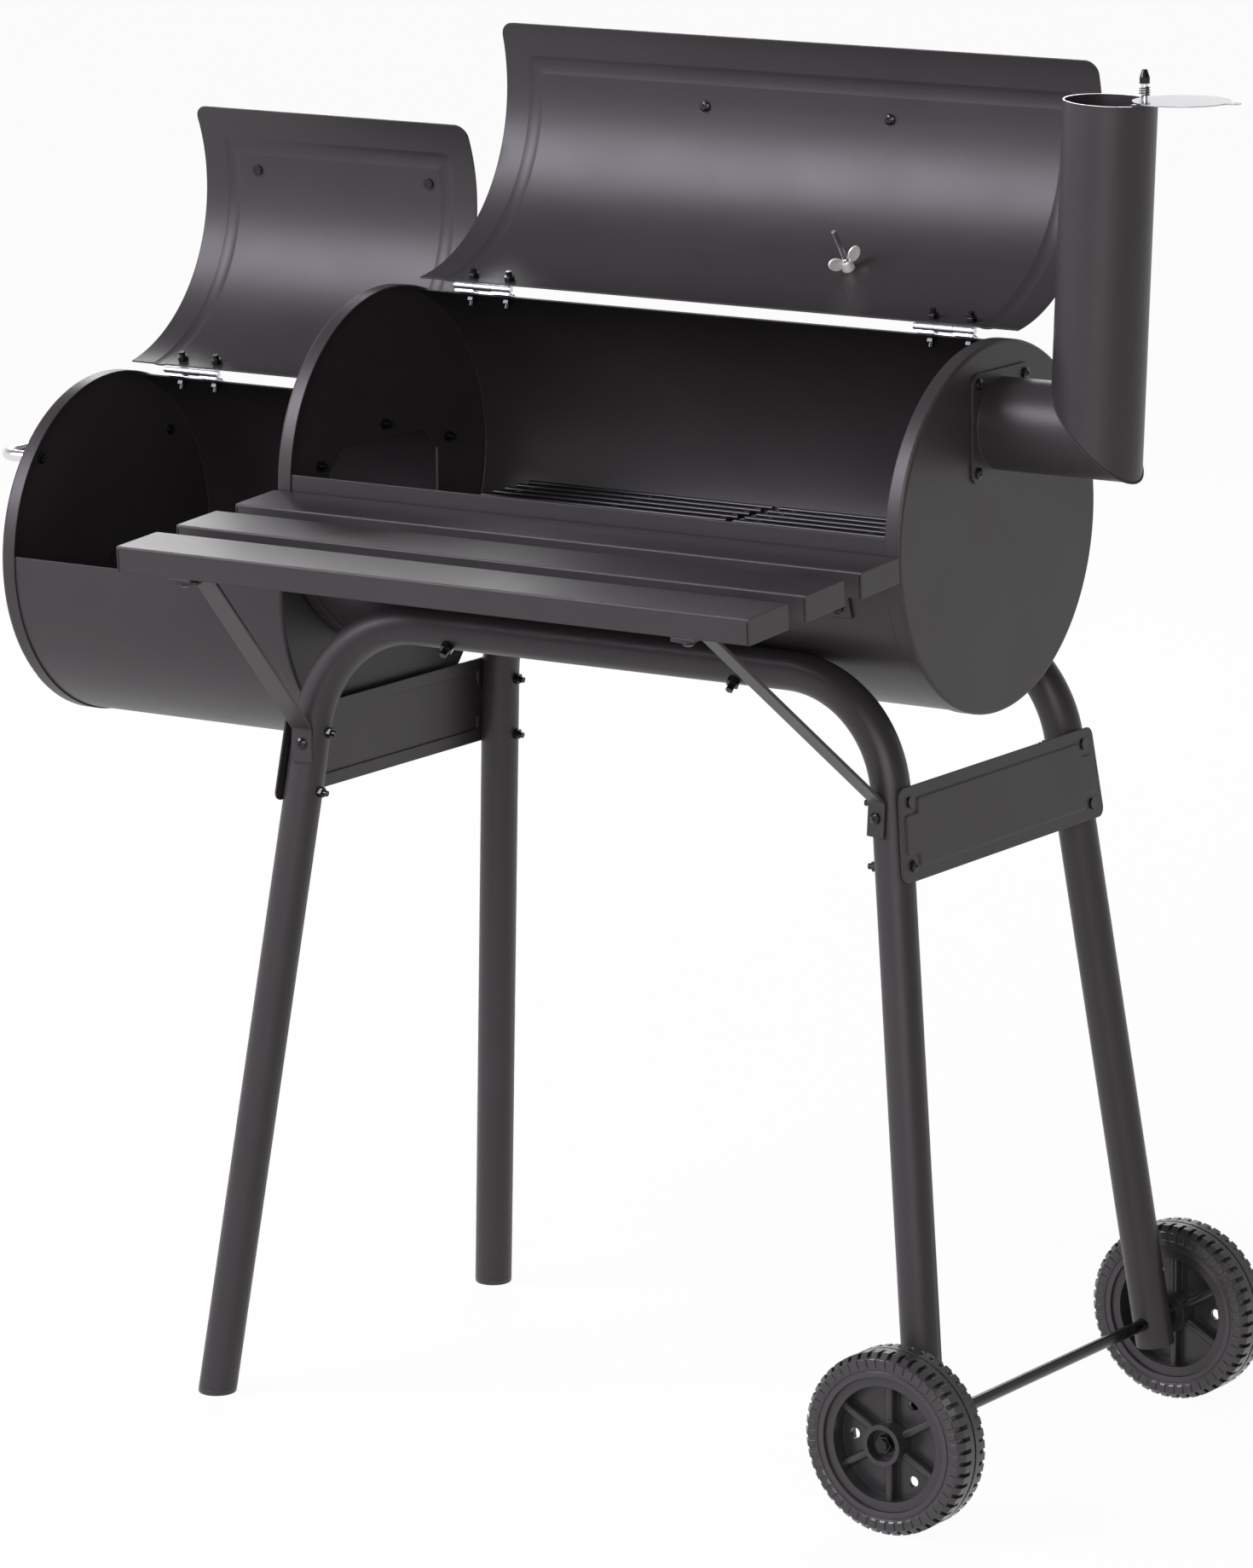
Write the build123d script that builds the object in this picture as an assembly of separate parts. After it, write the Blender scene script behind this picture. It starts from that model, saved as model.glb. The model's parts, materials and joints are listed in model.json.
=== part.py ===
from build123d import *
import os
from collections import namedtuple
from math import asin, ceil, cos, degrees, pi, radians, sin, sqrt, tan

# Offset smoker: a large and a small rolled barrel with hinged lids, on a tube frame with two wheels.
# Millimetres. While it is built, x = 0 is the chamber's left end face, y = 0 its axis, z = 0 the floor,
# and the front is -y. Angles on a barrel run from straight up, positive towards the rear.
# At the end everything moves so that the origin is the middle of the footprint.

# Sheet metal and fits
SHEET = 1.2              # rolled shells, caps, lids and slats
CAP_FIT = 0.1            # rim of an end cap over the rolled shell
LID_FIT = 0.5            # lid over the rims of the end caps
SEAT_GAP = 0.2           # flat fastener face on a curved wall
RUN_FIT = 0.06           # radial clearance of a turning fit
SIDE_PLAY = 0.3          # free play beside a turning piece
HOLE_FIT = 0.1           # bolt hole round its bolt, radial

# Barrels
CHAMBER_LENGTH = 602
CHAMBER_RADIUS = 150     # over the rims of its end caps
CHAMBER_AXIS_Z = 764
CHAMBER_LIP = 85.3       # front lip, degrees forward of straight up
CHAMBER_HINGE = 15.3     # hinge pin, degrees behind straight up
CHAMBER_SWING = 158.5    # how far its lid stands open
FIREBOX_LENGTH = 294
FIREBOX_RADIUS = 146
FIREBOX_AXIS_Z = 672.5
FIREBOX_LIP = 87.2
FIREBOX_HINGE = 14.3
FIREBOX_SWING = 153.4
CAP_RIM = 14             # width of an end cap's rim
CAP_ROUND = 3            # outer edge of an end cap

# Lids
LID_LAP = 9.7            # lid over the front lip
CHAMBER_LID_INSET = 9.5  # lid end from the barrel's end
FIREBOX_LID_INSET = 0.6
FIREBOX_LID_GAP = 7.5    # lid end from the chamber's cap
LID_CORNER = 12
BEAD_INSET = 30          # pressed bead from the lid's ends
BEAD_FRONT = 36          # and from its front edge
BEAD_WIDTH = 14
BEAD_HEIGHT = 1

# Hinges
HINGE_WIDTH = 54
HINGE_LEAF = 24
LEAF_THICK = 1.2
PIN_RADIUS = 1.5
PIN_HEAD = 2.6
KNUCKLE_RADIUS = 3.2
PIN_RISE = 2.1           # pin above the lid's outside
EDGE_SETBACK = 3.8       # sheet edges from the pin
HINGE_BOLT_PITCH = 36
HINGE_BOLT_OUT = 14      # bolts from the pin
HINGE_BEAD_GAP = 2.5     # leaf from the lid's bead

# Bar handles
HANDLE_SPAN = 181
HANDLE_REACH = 48
HANDLE_BAR = 10
HANDLE_BEND = 18
CHAMBER_HANDLE_ARC = 81    # along the lid from the pin, degrees
FIREBOX_HANDLE_ARC = 83.2
SIDE_HANDLE_RISE = 82.5      # above the firebox axis
HANDLE_BOLT_DEPTH = 14

# Thermometer in the main lid
DIAL_OFFSET = 90.5       # from the lid's middle towards the chimney
DIAL_ARC = 29            # along the lid from the pin, degrees
DIAL_RADIUS = 27
DIAL_DEPTH = 15
DIAL_WALL = 2.5
DIAL_STAND = 3           # case above the lid
DIAL_FLOOR = 6
GLASS_THICK = 1.5
GLASS_SINK = 1.5
STEM_RADIUS = 3
STEM_LENGTH = 12
PROBE_RADIUS = 2
PROBE_LENGTH = 30
NEEDLE_LENGTH = 17
NEEDLE_POST = 1.2
NEEDLE_THICK = 0.8
NEEDLE_REST = 130        # where the cold needle points
WING_HUB = 5.5
WING_HEIGHT = 8
WING_SPAN = 29
WING_RISE = 17
WING_THICK = 2.6
WING_TURN = -56

# Smoke window between the barrels
WINDOW_TOP_Z = 784
WINDOW_BOTTOM_Z = 700
WINDOW_HALF = 78
WINDOW_CUT = 18          # slanted corners
JOIN_BOLT_SIDE = 92
JOIN_BOLT_TOP = 13       # bolt above the window
JOIN_BOLT_DROP = 10      # side bolts below the window's top
JOIN_BOLT_LOW = 28       # bolt below the window

# Wire grates
WIRE_RADIUS = 2
WIRE_PITCH = 17
GRATE_BAR_WIDTH = 5
GRATE_BAR_DEPTH = 4
GRATE_BAR_INSET = 14
COOKING_DROP = 33        # below the chamber's axis
COOKING_LENGTH = 246
COOKING_GAP = 7
FIRE_DROP = 42
FIRE_LENGTH = 250

# Tube frame
TUBE_RADIUS = 16
TUBE_WALL = 1.5
TUBE_BEND = 100
RAIL_ANGLE = 49.5        # rail round the barrel from straight down
LEFT_CORNER_X = 33
LEFT_FOOT_X = -38.7
LEFT_SPLAY = 6.75
RIGHT_CORNER_INSET = 29
RIGHT_SPLAY = 5.26
JOINT_PLUG = 40
PLUG_FIT = 0.05
FOOT_PLUG = 5
FOOT_PLUG_DEPTH = 22
FOOT_ROUND = 2
RAIL_BOLT_OFFSET = 139

# Cross plates on the legs
PLATE_Z = 538
PLATE_HEIGHT = 75
PLATE_THICK = 1.5
PLATE_CORNER = 8
PLATE_BOLT_RISE = 25
PANEL_RISE = 1.2         # raised panel pressed into the plate
PANEL_SLOPE = 1.1
PANEL_EDGE = 10          # panel from the plate's long edges
PANEL_END = 7            # and from its ends
PANEL_BOLT = 9           # and from the bolts at its cut corners
PANEL_ROUND = 3

# Axle and wheels
WHEEL_RADIUS = 74
WHEEL_WIDTH = 38
WHEEL_INNER_Y = 205
AXLE_RADIUS = 5
AXLE_OUT = 41.8          # axle past the chamber's right end
AXLE_END = 2             # axle past its nuts
LEG_BELOW_AXLE = 20
TYRE_BORE = 55
TYRE_SHOULDER = 5
TREAD_COUNT = 48
TREAD_SLOT = 3.4
TREAD_DEPTH = 4
TREAD_REACH = 13
SEAM_WIDTH = 2.4
SEAM_DEPTH = 2
SIDE_RING = 60           # groove round each side of the tyre
SIDE_RING_WIDTH = 1.6
SIDE_RING_DEPTH = 0.8
RIM_INNER = 47
RIM_WIDTH = 33
WEB_THICK = 4
SPOKE_COUNT = 6
SPOKE_WIDTH = 7
SPOKE_DEPTH = 22
SPOKE_ROUND = 3
HUB_RADIUS = 16.7
HUB_PROUD = 2
HUB_RECESS = 10          # depth of the pocket for the axle nut
HUB_POCKET = 13          # and its radius
WEB_HOLE = 4.5
WEB_HOLE_CIRCLE = 36
WEB_HOLE_COUNT = 3
WHEEL_REST = {"front": 30, "rear": 90}   # turn in which each wheel stands
SPACER_RADIUS = 9
WASHER_RADIUS = 9
WASHER_THICK = 1.5
AXLE_NUT_FLATS = 13
AXLE_NUT_HEIGHT = 6
AXLE_PLAY = 0.2

# Front shelf
SHELF_TOP_Z = 763
SHELF_GAP = 1.7          # shelf from the chamber's rims
SHELF_TILT = 3.9         # falls to the front
SLAT_WIDTH = 55
SLAT_GAP = 25
SLAT_HEIGHT = 21
SLAT_RETURN = 15         # inturned flange under a slat
SLAT_ROUND = 1.5
SLAT_SLIT = 1            # between side and end where they are folded down
SLAT_COUNT = 3
BEARER_INSET = 61        # bearers from the chamber's ends
BEARER_WIDTH = 22
BEARER_THICK = 2.5
BEARER_TAB = 36
SLAT_BOLT_IN = 8
TAB_BOLT_IN = 9          # bolt from the tab's lower end
STRUT_WIDTH = 18
STRUT_THICK = 2.5
STRUT_BOLT_Z = 552
STRUT_TAB = 14           # half height of its foot
STRUT_BACK = 30          # upper bend from the shelf's front edge
STRUT_TIP_IN = 2         # its tip from the shelf's front edge
STRUT_BEND = 5

# Chimney
PIPE_RADIUS = 37.15
PIPE_WALL = 1.2
CHIMNEY_Z = 848
ELBOW_OUT = 89.3         # elbow from the chamber's right end
CHIMNEY_TOP_Z = 1110
CHIMNEY_LEAN = 2.3
FLANGE_SIZE = 88
FLANGE_THICK = 2
FLANGE_CORNER = 9
FLANGE_BOLT = 70.8
EAR_WIDTH = 16
EAR_THICK = 2
PIVOT_OFFSET = 30.5      # damper pivot from the pipe's axis
DAMPER_RADIUS = 38.5
DAMPER_THICK = 1
DAMPER_TAB = 10
DAMPER_TAB_WIDTH = 13
DAMPER_OPEN = 170
SPRING_WIRE = 1
SPRING_RADIUS = 4
SPRING_LENGTH = 12
SPRING_TURNS = 3
SPRING_END_RISE = 2.2    # height in which an end turns upright
SPRING_END_TURN = 90     # and the turn it takes
CAP_NUT_HEX = 5
CAP_NUT_DOME = 6
PIVOT_BOLT_HEAD = 4.2
PIVOT_BOLT_HEAD_HEIGHT = 2.5

# Air damper on the firebox's left end
VENT_DROP = 45
VENT_RADIUS = 45
VENT_HOLE = 11
VENT_HOLE_CIRCLE = 26
VENT_COUNT = 3
VENT_THICK = 1.2
VENT_TAB = 14
VENT_TAB_OUT = 12
RIVET_RADIUS = 3
RIVET_HEAD = 7
RIVET_HEAD_HEIGHT = 2

# Fasteners
Fastener = namedtuple("Fastener", "shank head head_height flats nut tip")
SMALL = Fastener(shank=2.5, head=4.6, head_height=1.6, flats=8, nut=4, tip=4)
LARGE = Fastener(shank=3, head=6, head_height=2, flats=10, nut=5, tip=6)

ON = (Align.CENTER, Align.CENTER, Align.MIN)
UNDER = (Align.CENTER, Align.CENTER, Align.MAX)

pieces = {}


def keep(name, *shapes):
    """Add the solids of these shapes to the node of that name."""
    node = pieces.setdefault(name, [])
    for shape in shapes:
        node.extend(shape.solids())


def bolt(seat, grip, size):
    """Button-head bolt, its head on the seat plane, and its nut at the far side of the grip."""
    length = grip + size.nut + size.tip
    shaft = Cylinder(size.shank, length, align=UNDER) + Cylinder(size.head, size.head_height, align=ON)
    nut = extrude(RegularPolygon(size.flats / 2, 6, major_radius=False), size.nut)
    nut -= Cylinder(size.shank, size.nut, align=ON)
    return [seat * shaft, seat * Pos(0, 0, -grip - size.nut) * nut]


def hole(seat, depth, radius):
    """Drill for a bolt hole: from just above the seat plane to the given depth."""
    clear = 2 * SHEET
    return seat * Pos(0, 0, clear) * Cylinder(radius + HOLE_FIT, depth + clear, align=UNDER)


class Barrel:
    """A rolled barrel along x with an opening at the top front and a hinged lid over it."""

    def __init__(self, left, length, radius, axis_z, lip, hinge, swing, lid_left, lid_right):
        self.left = left
        self.right = left + length
        self.middle = left + length / 2
        self.rim = radius
        self.axis_z = axis_z
        self.shell_out = radius - SHEET - CAP_FIT
        self.shell_in = self.shell_out - SHEET
        self.lid_in = radius + LID_FIT
        self.lid_out = self.lid_in + SHEET
        self.pin = self.lid_out + PIN_RISE
        self.lip = lip
        self.hinge = hinge
        self.swing = swing
        self.setback = degrees(EDGE_SETBACK / self.pin)
        self.lid_edge = -lip - degrees(LID_LAP / self.lid_out)
        self.lid_left = self.left + lid_left
        self.lid_right = self.right - lid_right

    def point(self, radius, angle, x=0):
        turn = radians(angle)
        return Vector(x, radius * sin(turn), self.axis_z + radius * cos(turn))

    def seat(self, x, radius, angle, inward=False):
        """Plane on the barrel at that radius and angle, its z pointing out of the barrel or into it."""
        side = -1 if inward else 1
        out = (0, side * sin(radians(angle)), side * cos(radians(angle)))
        return Plane(origin=self.point(radius, angle, x), x_dir=(1, 0, 0), z_dir=out)

    def sheet(self, inner, outer, start, end, x0, x1):
        """Sheet rolled about the barrel's axis between two angles."""
        middle = (start + end) / 2

        def at(radius, angle):
            return (radius * sin(radians(angle)), radius * cos(radians(angle)))

        outline = [
            ThreePointArc(at(outer, start), at(outer, middle), at(outer, end)),
            Line(at(outer, end), at(inner, end)),
            ThreePointArc(at(inner, end), at(inner, middle), at(inner, start)),
            Line(at(inner, start), at(outer, start)),
        ]
        end_face = Plane(origin=(x0, 0, self.axis_z), x_dir=(0, 1, 0), z_dir=(1, 0, 0))
        return extrude(end_face * make_face(outline), x1 - x0)

    def opened(self, shape):
        """A piece of the lid, drawn closed, swung open about the hinge pin."""
        pin = self.point(self.pin, self.hinge)
        return shape.rotate(Axis(pin, (1, 0, 0)), -self.swing)

    def lid_angle(self, arc):
        """Angle on the closed lid, given along the lid from the pin."""
        return self.hinge - arc


chamber = Barrel(0, CHAMBER_LENGTH, CHAMBER_RADIUS, CHAMBER_AXIS_Z, CHAMBER_LIP, CHAMBER_HINGE,
                 CHAMBER_SWING, CHAMBER_LID_INSET, CHAMBER_LID_INSET)
firebox = Barrel(-FIREBOX_LENGTH, FIREBOX_LENGTH, FIREBOX_RADIUS, FIREBOX_AXIS_Z, FIREBOX_LIP,
                 FIREBOX_HINGE, FIREBOX_SWING, FIREBOX_LID_INSET, FIREBOX_LID_GAP)
HINGE_INSET = BEAD_INSET + BEAD_WIDTH / 2 + HINGE_BEAD_GAP + HINGE_WIDTH / 2
CHAMBER_HINGES = [chamber.lid_left + HINGE_INSET, chamber.lid_right - HINGE_INSET]
FIREBOX_HINGES = [firebox.lid_left + HINGE_INSET, firebox.lid_right - HINGE_INSET]
RAIL_RADIUS = chamber.shell_out + TUBE_RADIUS
RAIL_Y = RAIL_RADIUS * sin(radians(RAIL_ANGLE))
RAIL_Z = CHAMBER_AXIS_Z - RAIL_RADIUS * cos(radians(RAIL_ANGLE))
AXLE_X = chamber.right + AXLE_OUT
AXLE_Z = WHEEL_RADIUS


# Barrels and their caps

def cap(barrel, face_x, inward):
    """End cap: a flat disc with a rim that goes over the rolled shell."""
    cup = Cylinder(barrel.rim, CAP_RIM, align=ON)
    cup -= Pos(0, 0, SHEET) * Cylinder(barrel.rim - SHEET, CAP_RIM, align=ON)
    cup = fillet(cup.edges().filter_by(GeomType.CIRCLE).group_by(Axis.Z)[1], CAP_ROUND - SHEET)
    cup = fillet(cup.edges().filter_by(GeomType.CIRCLE).group_by(Axis.Z)[0], CAP_ROUND)
    return Plane(origin=(face_x, 0, barrel.axis_z), x_dir=(0, 1, 0), z_dir=(inward, 0, 0)) * cup


def hinge_seats(barrel, places, radius, direction):
    """Seats of the hinge bolts on one side of the pin, on the outside of a sheet at that radius."""
    angle = barrel.hinge + direction * degrees(HINGE_BOLT_OUT / barrel.pin)
    half = HINGE_BOLT_PITCH / 2
    return [barrel.seat(x + side * half, radius, angle) for x in places for side in (-1, 1)]


def shell(barrel, places):
    body = barrel.sheet(barrel.shell_in, barrel.shell_out, barrel.hinge + barrel.setback, 360 - barrel.lip,
                        barrel.left + CAP_ROUND, barrel.right - CAP_ROUND)
    seats = hinge_seats(barrel, places, barrel.shell_out, 1)
    return body - [hole(seat, 2 * SHEET, SMALL.shank) for seat in seats]


def lower_leaf(barrel, x):
    """Hinge leaf on the shell: a curved plate with the two outer knuckles."""
    start = barrel.hinge + barrel.setback
    end = barrel.hinge + degrees(HINGE_LEAF / barrel.pin)
    half = HINGE_WIDTH / 2
    leaf = barrel.sheet(barrel.shell_out, barrel.shell_out + LEAF_THICK, start, end, x - half, x + half)
    pin = barrel.seat(x, barrel.pin, barrel.hinge)
    drop = barrel.pin - barrel.shell_out
    width = HINGE_WIDTH / 3 - SIDE_PLAY
    for side in (-1, 1):
        knuckle = Rot(0, 90, 0) * Cylinder(KNUCKLE_RADIUS, width)
        neck = Pos(0, 0, -drop) * Box(width, LEAF_THICK + PIN_RADIUS, drop, align=ON)
        foot = Pos(0, 0, -drop) * Box(width, 2 * EDGE_SETBACK, LEAF_THICK, align=ON)
        foot = Pos(0, EDGE_SETBACK - (LEAF_THICK + PIN_RADIUS) / 2, 0) * foot
        curl = knuckle + neck + foot
        leaf += pin * Pos(side * (half - width / 2), 0, 0) * curl
    bore = pin * Rot(0, 90, 0) * Cylinder(PIN_RADIUS, HINGE_WIDTH)
    seats = hinge_seats(barrel, [x], barrel.shell_out + LEAF_THICK, 1)
    return leaf - bore - [hole(seat, 2 * LEAF_THICK, SMALL.shank) for seat in seats]


def upper_leaf(barrel, x):
    """Hinge leaf on the lid: a curved plate with the middle knuckle, which turns on the pin."""
    start = barrel.hinge - degrees(HINGE_LEAF / barrel.pin)
    end = barrel.hinge - barrel.setback
    half = HINGE_WIDTH / 2
    leaf = barrel.sheet(barrel.lid_out, barrel.lid_out + LEAF_THICK, start, end, x - half, x + half)
    pin = barrel.seat(x, barrel.pin, barrel.hinge)
    width = HINGE_WIDTH / 3 - SIDE_PLAY
    neck = Pos(0, -EDGE_SETBACK, -PIN_RISE) * Box(width, EDGE_SETBACK, LEAF_THICK, align=ON)
    leaf += pin * (Rot(0, 90, 0) * Cylinder(KNUCKLE_RADIUS, width) + neck)
    bore = pin * Rot(0, 90, 0) * Cylinder(PIN_RADIUS + RUN_FIT, HINGE_WIDTH)
    seats = hinge_seats(barrel, [x], barrel.lid_out + LEAF_THICK, -1)
    return leaf - bore - [hole(seat, 2 * LEAF_THICK, SMALL.shank) for seat in seats]


def hinge_pin(barrel, x):
    pin = barrel.seat(x, barrel.pin, barrel.hinge)
    rod = Rot(0, 90, 0) * Cylinder(PIN_RADIUS, HINGE_WIDTH)
    for side in (-1, 1):
        head = Rot(0, side * 90, 0) * Pos(0, 0, HINGE_WIDTH / 2) * Cylinder(PIN_HEAD, PIN_RADIUS, align=ON)
        rod += head
    return pin * rod


bead_radius = (BEAD_WIDTH ** 2 / 4 + BEAD_HEIGHT ** 2) / (2 * BEAD_HEIGHT)


def lid_bead(barrel, radius):
    """Rods along the lines of the pressed bead: down both ends and along the free edge."""
    track = barrel.lid_out + BEAD_HEIGHT - bead_radius
    edge = barrel.lid_edge + degrees(BEAD_FRONT / barrel.lid_out)
    ends = (barrel.lid_left + BEAD_INSET, barrel.lid_right - BEAD_INSET)
    run = barrel.seat((ends[0] + ends[1]) / 2, track, edge)
    rods = run * Rot(0, 90, 0) * Cylinder(radius, ends[1] - ends[0])
    span = barrel.hinge - edge
    for x in ends:
        corner = barrel.seat(x, track, edge)
        section = Plane(origin=corner.origin, x_dir=(1, 0, 0), z_dir=corner.y_dir) * Circle(radius)
        rods += revolve(section, Axis((x, 0, barrel.axis_z), (-1, 0, 0)), span)
        rods += Pos(corner.origin) * Sphere(radius)
    return rods


def lid(barrel, places, handle_seats):
    """Rolled lid with rounded front corners and a pressed bead, drawn closed."""
    top = barrel.hinge - barrel.setback
    ends = (barrel.lid_left, barrel.lid_right)
    body = barrel.sheet(barrel.lid_in, barrel.lid_out, barrel.lid_edge, top, *ends)
    corners = [edge for edge in body.edges() if edge.length < 2 * SHEET]
    front = sorted(corners, key=lambda edge: edge.center().Y)[:2]
    body = fillet(front, LID_CORNER)
    above = barrel.sheet(barrel.lid_in, barrel.lid_out + 2 * BEAD_HEIGHT, barrel.lid_edge, top, *ends)
    body += lid_bead(barrel, bead_radius) & above
    body -= lid_bead(barrel, bead_radius - SHEET)
    drills = [hole(seat, 2 * SHEET, SMALL.shank) for seat in hinge_seats(barrel, places, barrel.lid_out, -1)]
    drills += [hole(seat, 2 * SHEET, SMALL.shank) for seat in handle_seats]
    return body - drills


def bar_handle(seat):
    """Bent bar with both ends on the seat plane, HANDLE_SPAN apart along the plane's x."""
    half = HANDLE_SPAN / 2
    reach = HANDLE_REACH - HANDLE_BAR / 2
    corners = [(-half, 0, 0), (-half, 0, reach), (half, 0, reach), (half, 0, 0)]
    path = FilletPolyline(corners, radius=HANDLE_BEND)
    bar = sweep(Plane(origin=(-half, 0, 0), z_dir=(0, 0, 1)) * Circle(HANDLE_BAR / 2), path)
    for side in (-1, 1):
        bar -= Pos(side * half, 0, 0) * Cylinder(SMALL.shank, HANDLE_BOLT_DEPTH, align=ON)
    return seat * bar


def handle_bolt(seat, wall):
    """Bolt from inside the wall into the end of a bar handle, whose outside face is on the seat plane."""
    shank = Cylinder(SMALL.shank, HANDLE_BOLT_DEPTH + wall + SEAT_GAP, align=ON)
    head = Cylinder(SMALL.head, SMALL.head_height, align=UNDER)
    return seat * Pos(0, 0, -wall - SEAT_GAP) * (shank + head)


def lid_handle_seats(barrel, arc):
    angle = barrel.lid_angle(arc)
    return [barrel.seat(barrel.middle + side * HANDLE_SPAN / 2, barrel.lid_out, angle) for side in (-1, 1)]


def join_places():
    """Bolts round the smoke window, as y and z."""
    side_z = WINDOW_TOP_Z - JOIN_BOLT_DROP
    sides = [(-JOIN_BOLT_SIDE, side_z), (JOIN_BOLT_SIDE, side_z)]
    return sides + [(0, WINDOW_TOP_Z + JOIN_BOLT_TOP), (0, WINDOW_BOTTOM_Z - JOIN_BOLT_LOW)]


def smoke_window():
    """Cutter for the eight-sided window through both caps."""
    height = WINDOW_TOP_Z - WINDOW_BOTTOM_Z
    across = Plane(origin=(0, 0, (WINDOW_TOP_Z + WINDOW_BOTTOM_Z) / 2), x_dir=(0, 1, 0), z_dir=(1, 0, 0))
    outline = chamfer(Rectangle(2 * WINDOW_HALF, height).vertices(), WINDOW_CUT)
    return extrude(across * outline, 2 * SHEET, both=True)


def facing(x, y, z, direction):
    """Plane square to the x axis, its z pointing the given way along x."""
    return Plane(origin=(x, y, z), x_dir=(0, direction, 0), z_dir=(direction, 0, 0))


join_seats = [facing(-SHEET, y, z, -1) for y, z in join_places()]
join_holes = [hole(seat, 3 * SHEET, SMALL.shank) for seat in join_seats]
side_handle_seat = Plane(origin=(firebox.left, 0, FIREBOX_AXIS_Z + SIDE_HANDLE_RISE), x_dir=(0, 1, 0),
                         z_dir=(-1, 0, 0))
side_handle_seats = [side_handle_seat * Pos(side * HANDLE_SPAN / 2, 0, 0) for side in (-1, 1)]
vent_seat = facing(firebox.left, 0, FIREBOX_AXIS_Z - VENT_DROP, -1)
vent_spots = PolarLocations(VENT_HOLE_CIRCLE, VENT_COUNT).locations
vent_holes = [vent_seat * spot * Cylinder(VENT_HOLE, 4 * SHEET) for spot in vent_spots]
flange_seat = facing(chamber.right, 0, CHIMNEY_Z, 1)
flange_seats = [flange_seat * Pos(0, 0, FLANGE_THICK) * spot
                for spot in GridLocations(FLANGE_BOLT, FLANGE_BOLT, 2, 2)]
flange_holes = [hole(seat, 2 * FLANGE_THICK + SHEET, SMALL.shank) for seat in flange_seats]
pipe_bore = PIPE_RADIUS - PIPE_WALL


def rail_seats():
    """Seats of the bolts through shell and rail, on the inside of the shell."""
    places = [chamber.middle + side * RAIL_BOLT_OFFSET for side in (-1, 1)]
    turns = [180 + side * RAIL_ANGLE for side in (-1, 1)]
    inside = chamber.shell_in - SEAT_GAP
    return [chamber.seat(x, inside, turn, inward=True) for x in places for turn in turns]


RAIL_GRIP = 2 * TUBE_RADIUS + SHEET + SEAT_GAP
rail_holes = [hole(seat, RAIL_GRIP + LARGE.nut, LARGE.shank) for seat in rail_seats()]

# Bearers stand under the shelf and are bolted to the front of the chamber
BEARERS = [chamber.left + BEARER_INSET, chamber.right - BEARER_INSET]
SHELF_DEPTH = SLAT_COUNT * SLAT_WIDTH + (SLAT_COUNT - 1) * SLAT_GAP
shelf = Plane(origin=(0, -CHAMBER_RADIUS - SHELF_GAP, SHELF_TOP_Z), x_dir=(1, 0, 0),
              z_dir=(0, -sin(radians(SHELF_TILT)), cos(radians(SHELF_TILT))))
tab_out = chamber.shell_out + BEARER_THICK
tab_start = -90 - degrees(asin((CHAMBER_AXIS_Z - SHELF_TOP_Z + SLAT_HEIGHT) / tab_out))
tab_end = tab_start - degrees(BEARER_TAB / tab_out)
TAB_BOLT = tab_end + degrees(TAB_BOLT_IN / tab_out)
tab_seats = [chamber.seat(x, tab_out, TAB_BOLT) for x in BEARERS]
tab_holes = [hole(seat, 2 * BEARER_THICK + SHEET, SMALL.shank) for seat in tab_seats]

keep("chamber_shell", shell(chamber, CHAMBER_HINGES) - rail_holes - tab_holes)
keep("chamber_left_cap", cap(chamber, chamber.left, 1) - smoke_window() - join_holes)
keep("chamber_right_cap", cap(chamber, chamber.right, -1) - flange_holes
     - flange_seat * Cylinder(pipe_bore, 4 * SHEET))
keep("firebox_shell", shell(firebox, FIREBOX_HINGES))
side_handle_holes = [hole(seat, 2 * SHEET, SMALL.shank) for seat in side_handle_seats]
rivet_hole = vent_seat * Cylinder(RIVET_RADIUS, 4 * SHEET)
keep("firebox_left_cap", cap(firebox, firebox.left, 1) - side_handle_holes - vent_holes - rivet_hole)
keep("firebox_right_cap", cap(firebox, firebox.right, -1) - smoke_window() - join_holes)
for seat in join_seats:
    keep("firebox_bolts", *bolt(seat, 2 * SHEET, SMALL))
for seat in rail_seats():
    keep("chamber_bolts", *bolt(seat, RAIL_GRIP, LARGE))

# Hinges and lids
for barrel, places in ((chamber, CHAMBER_HINGES), (firebox, FIREBOX_HINGES)):
    for x in places:
        keep("lower_hinge_leaves", lower_leaf(barrel, x))
        keep("hinge_pins", hinge_pin(barrel, x))
    for seat in hinge_seats(barrel, places, barrel.shell_out + LEAF_THICK + SEAT_GAP, 1):
        keep("hinge_bolts", *bolt(seat, LEAF_THICK + SHEET + 2 * SEAT_GAP, SMALL))

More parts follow.
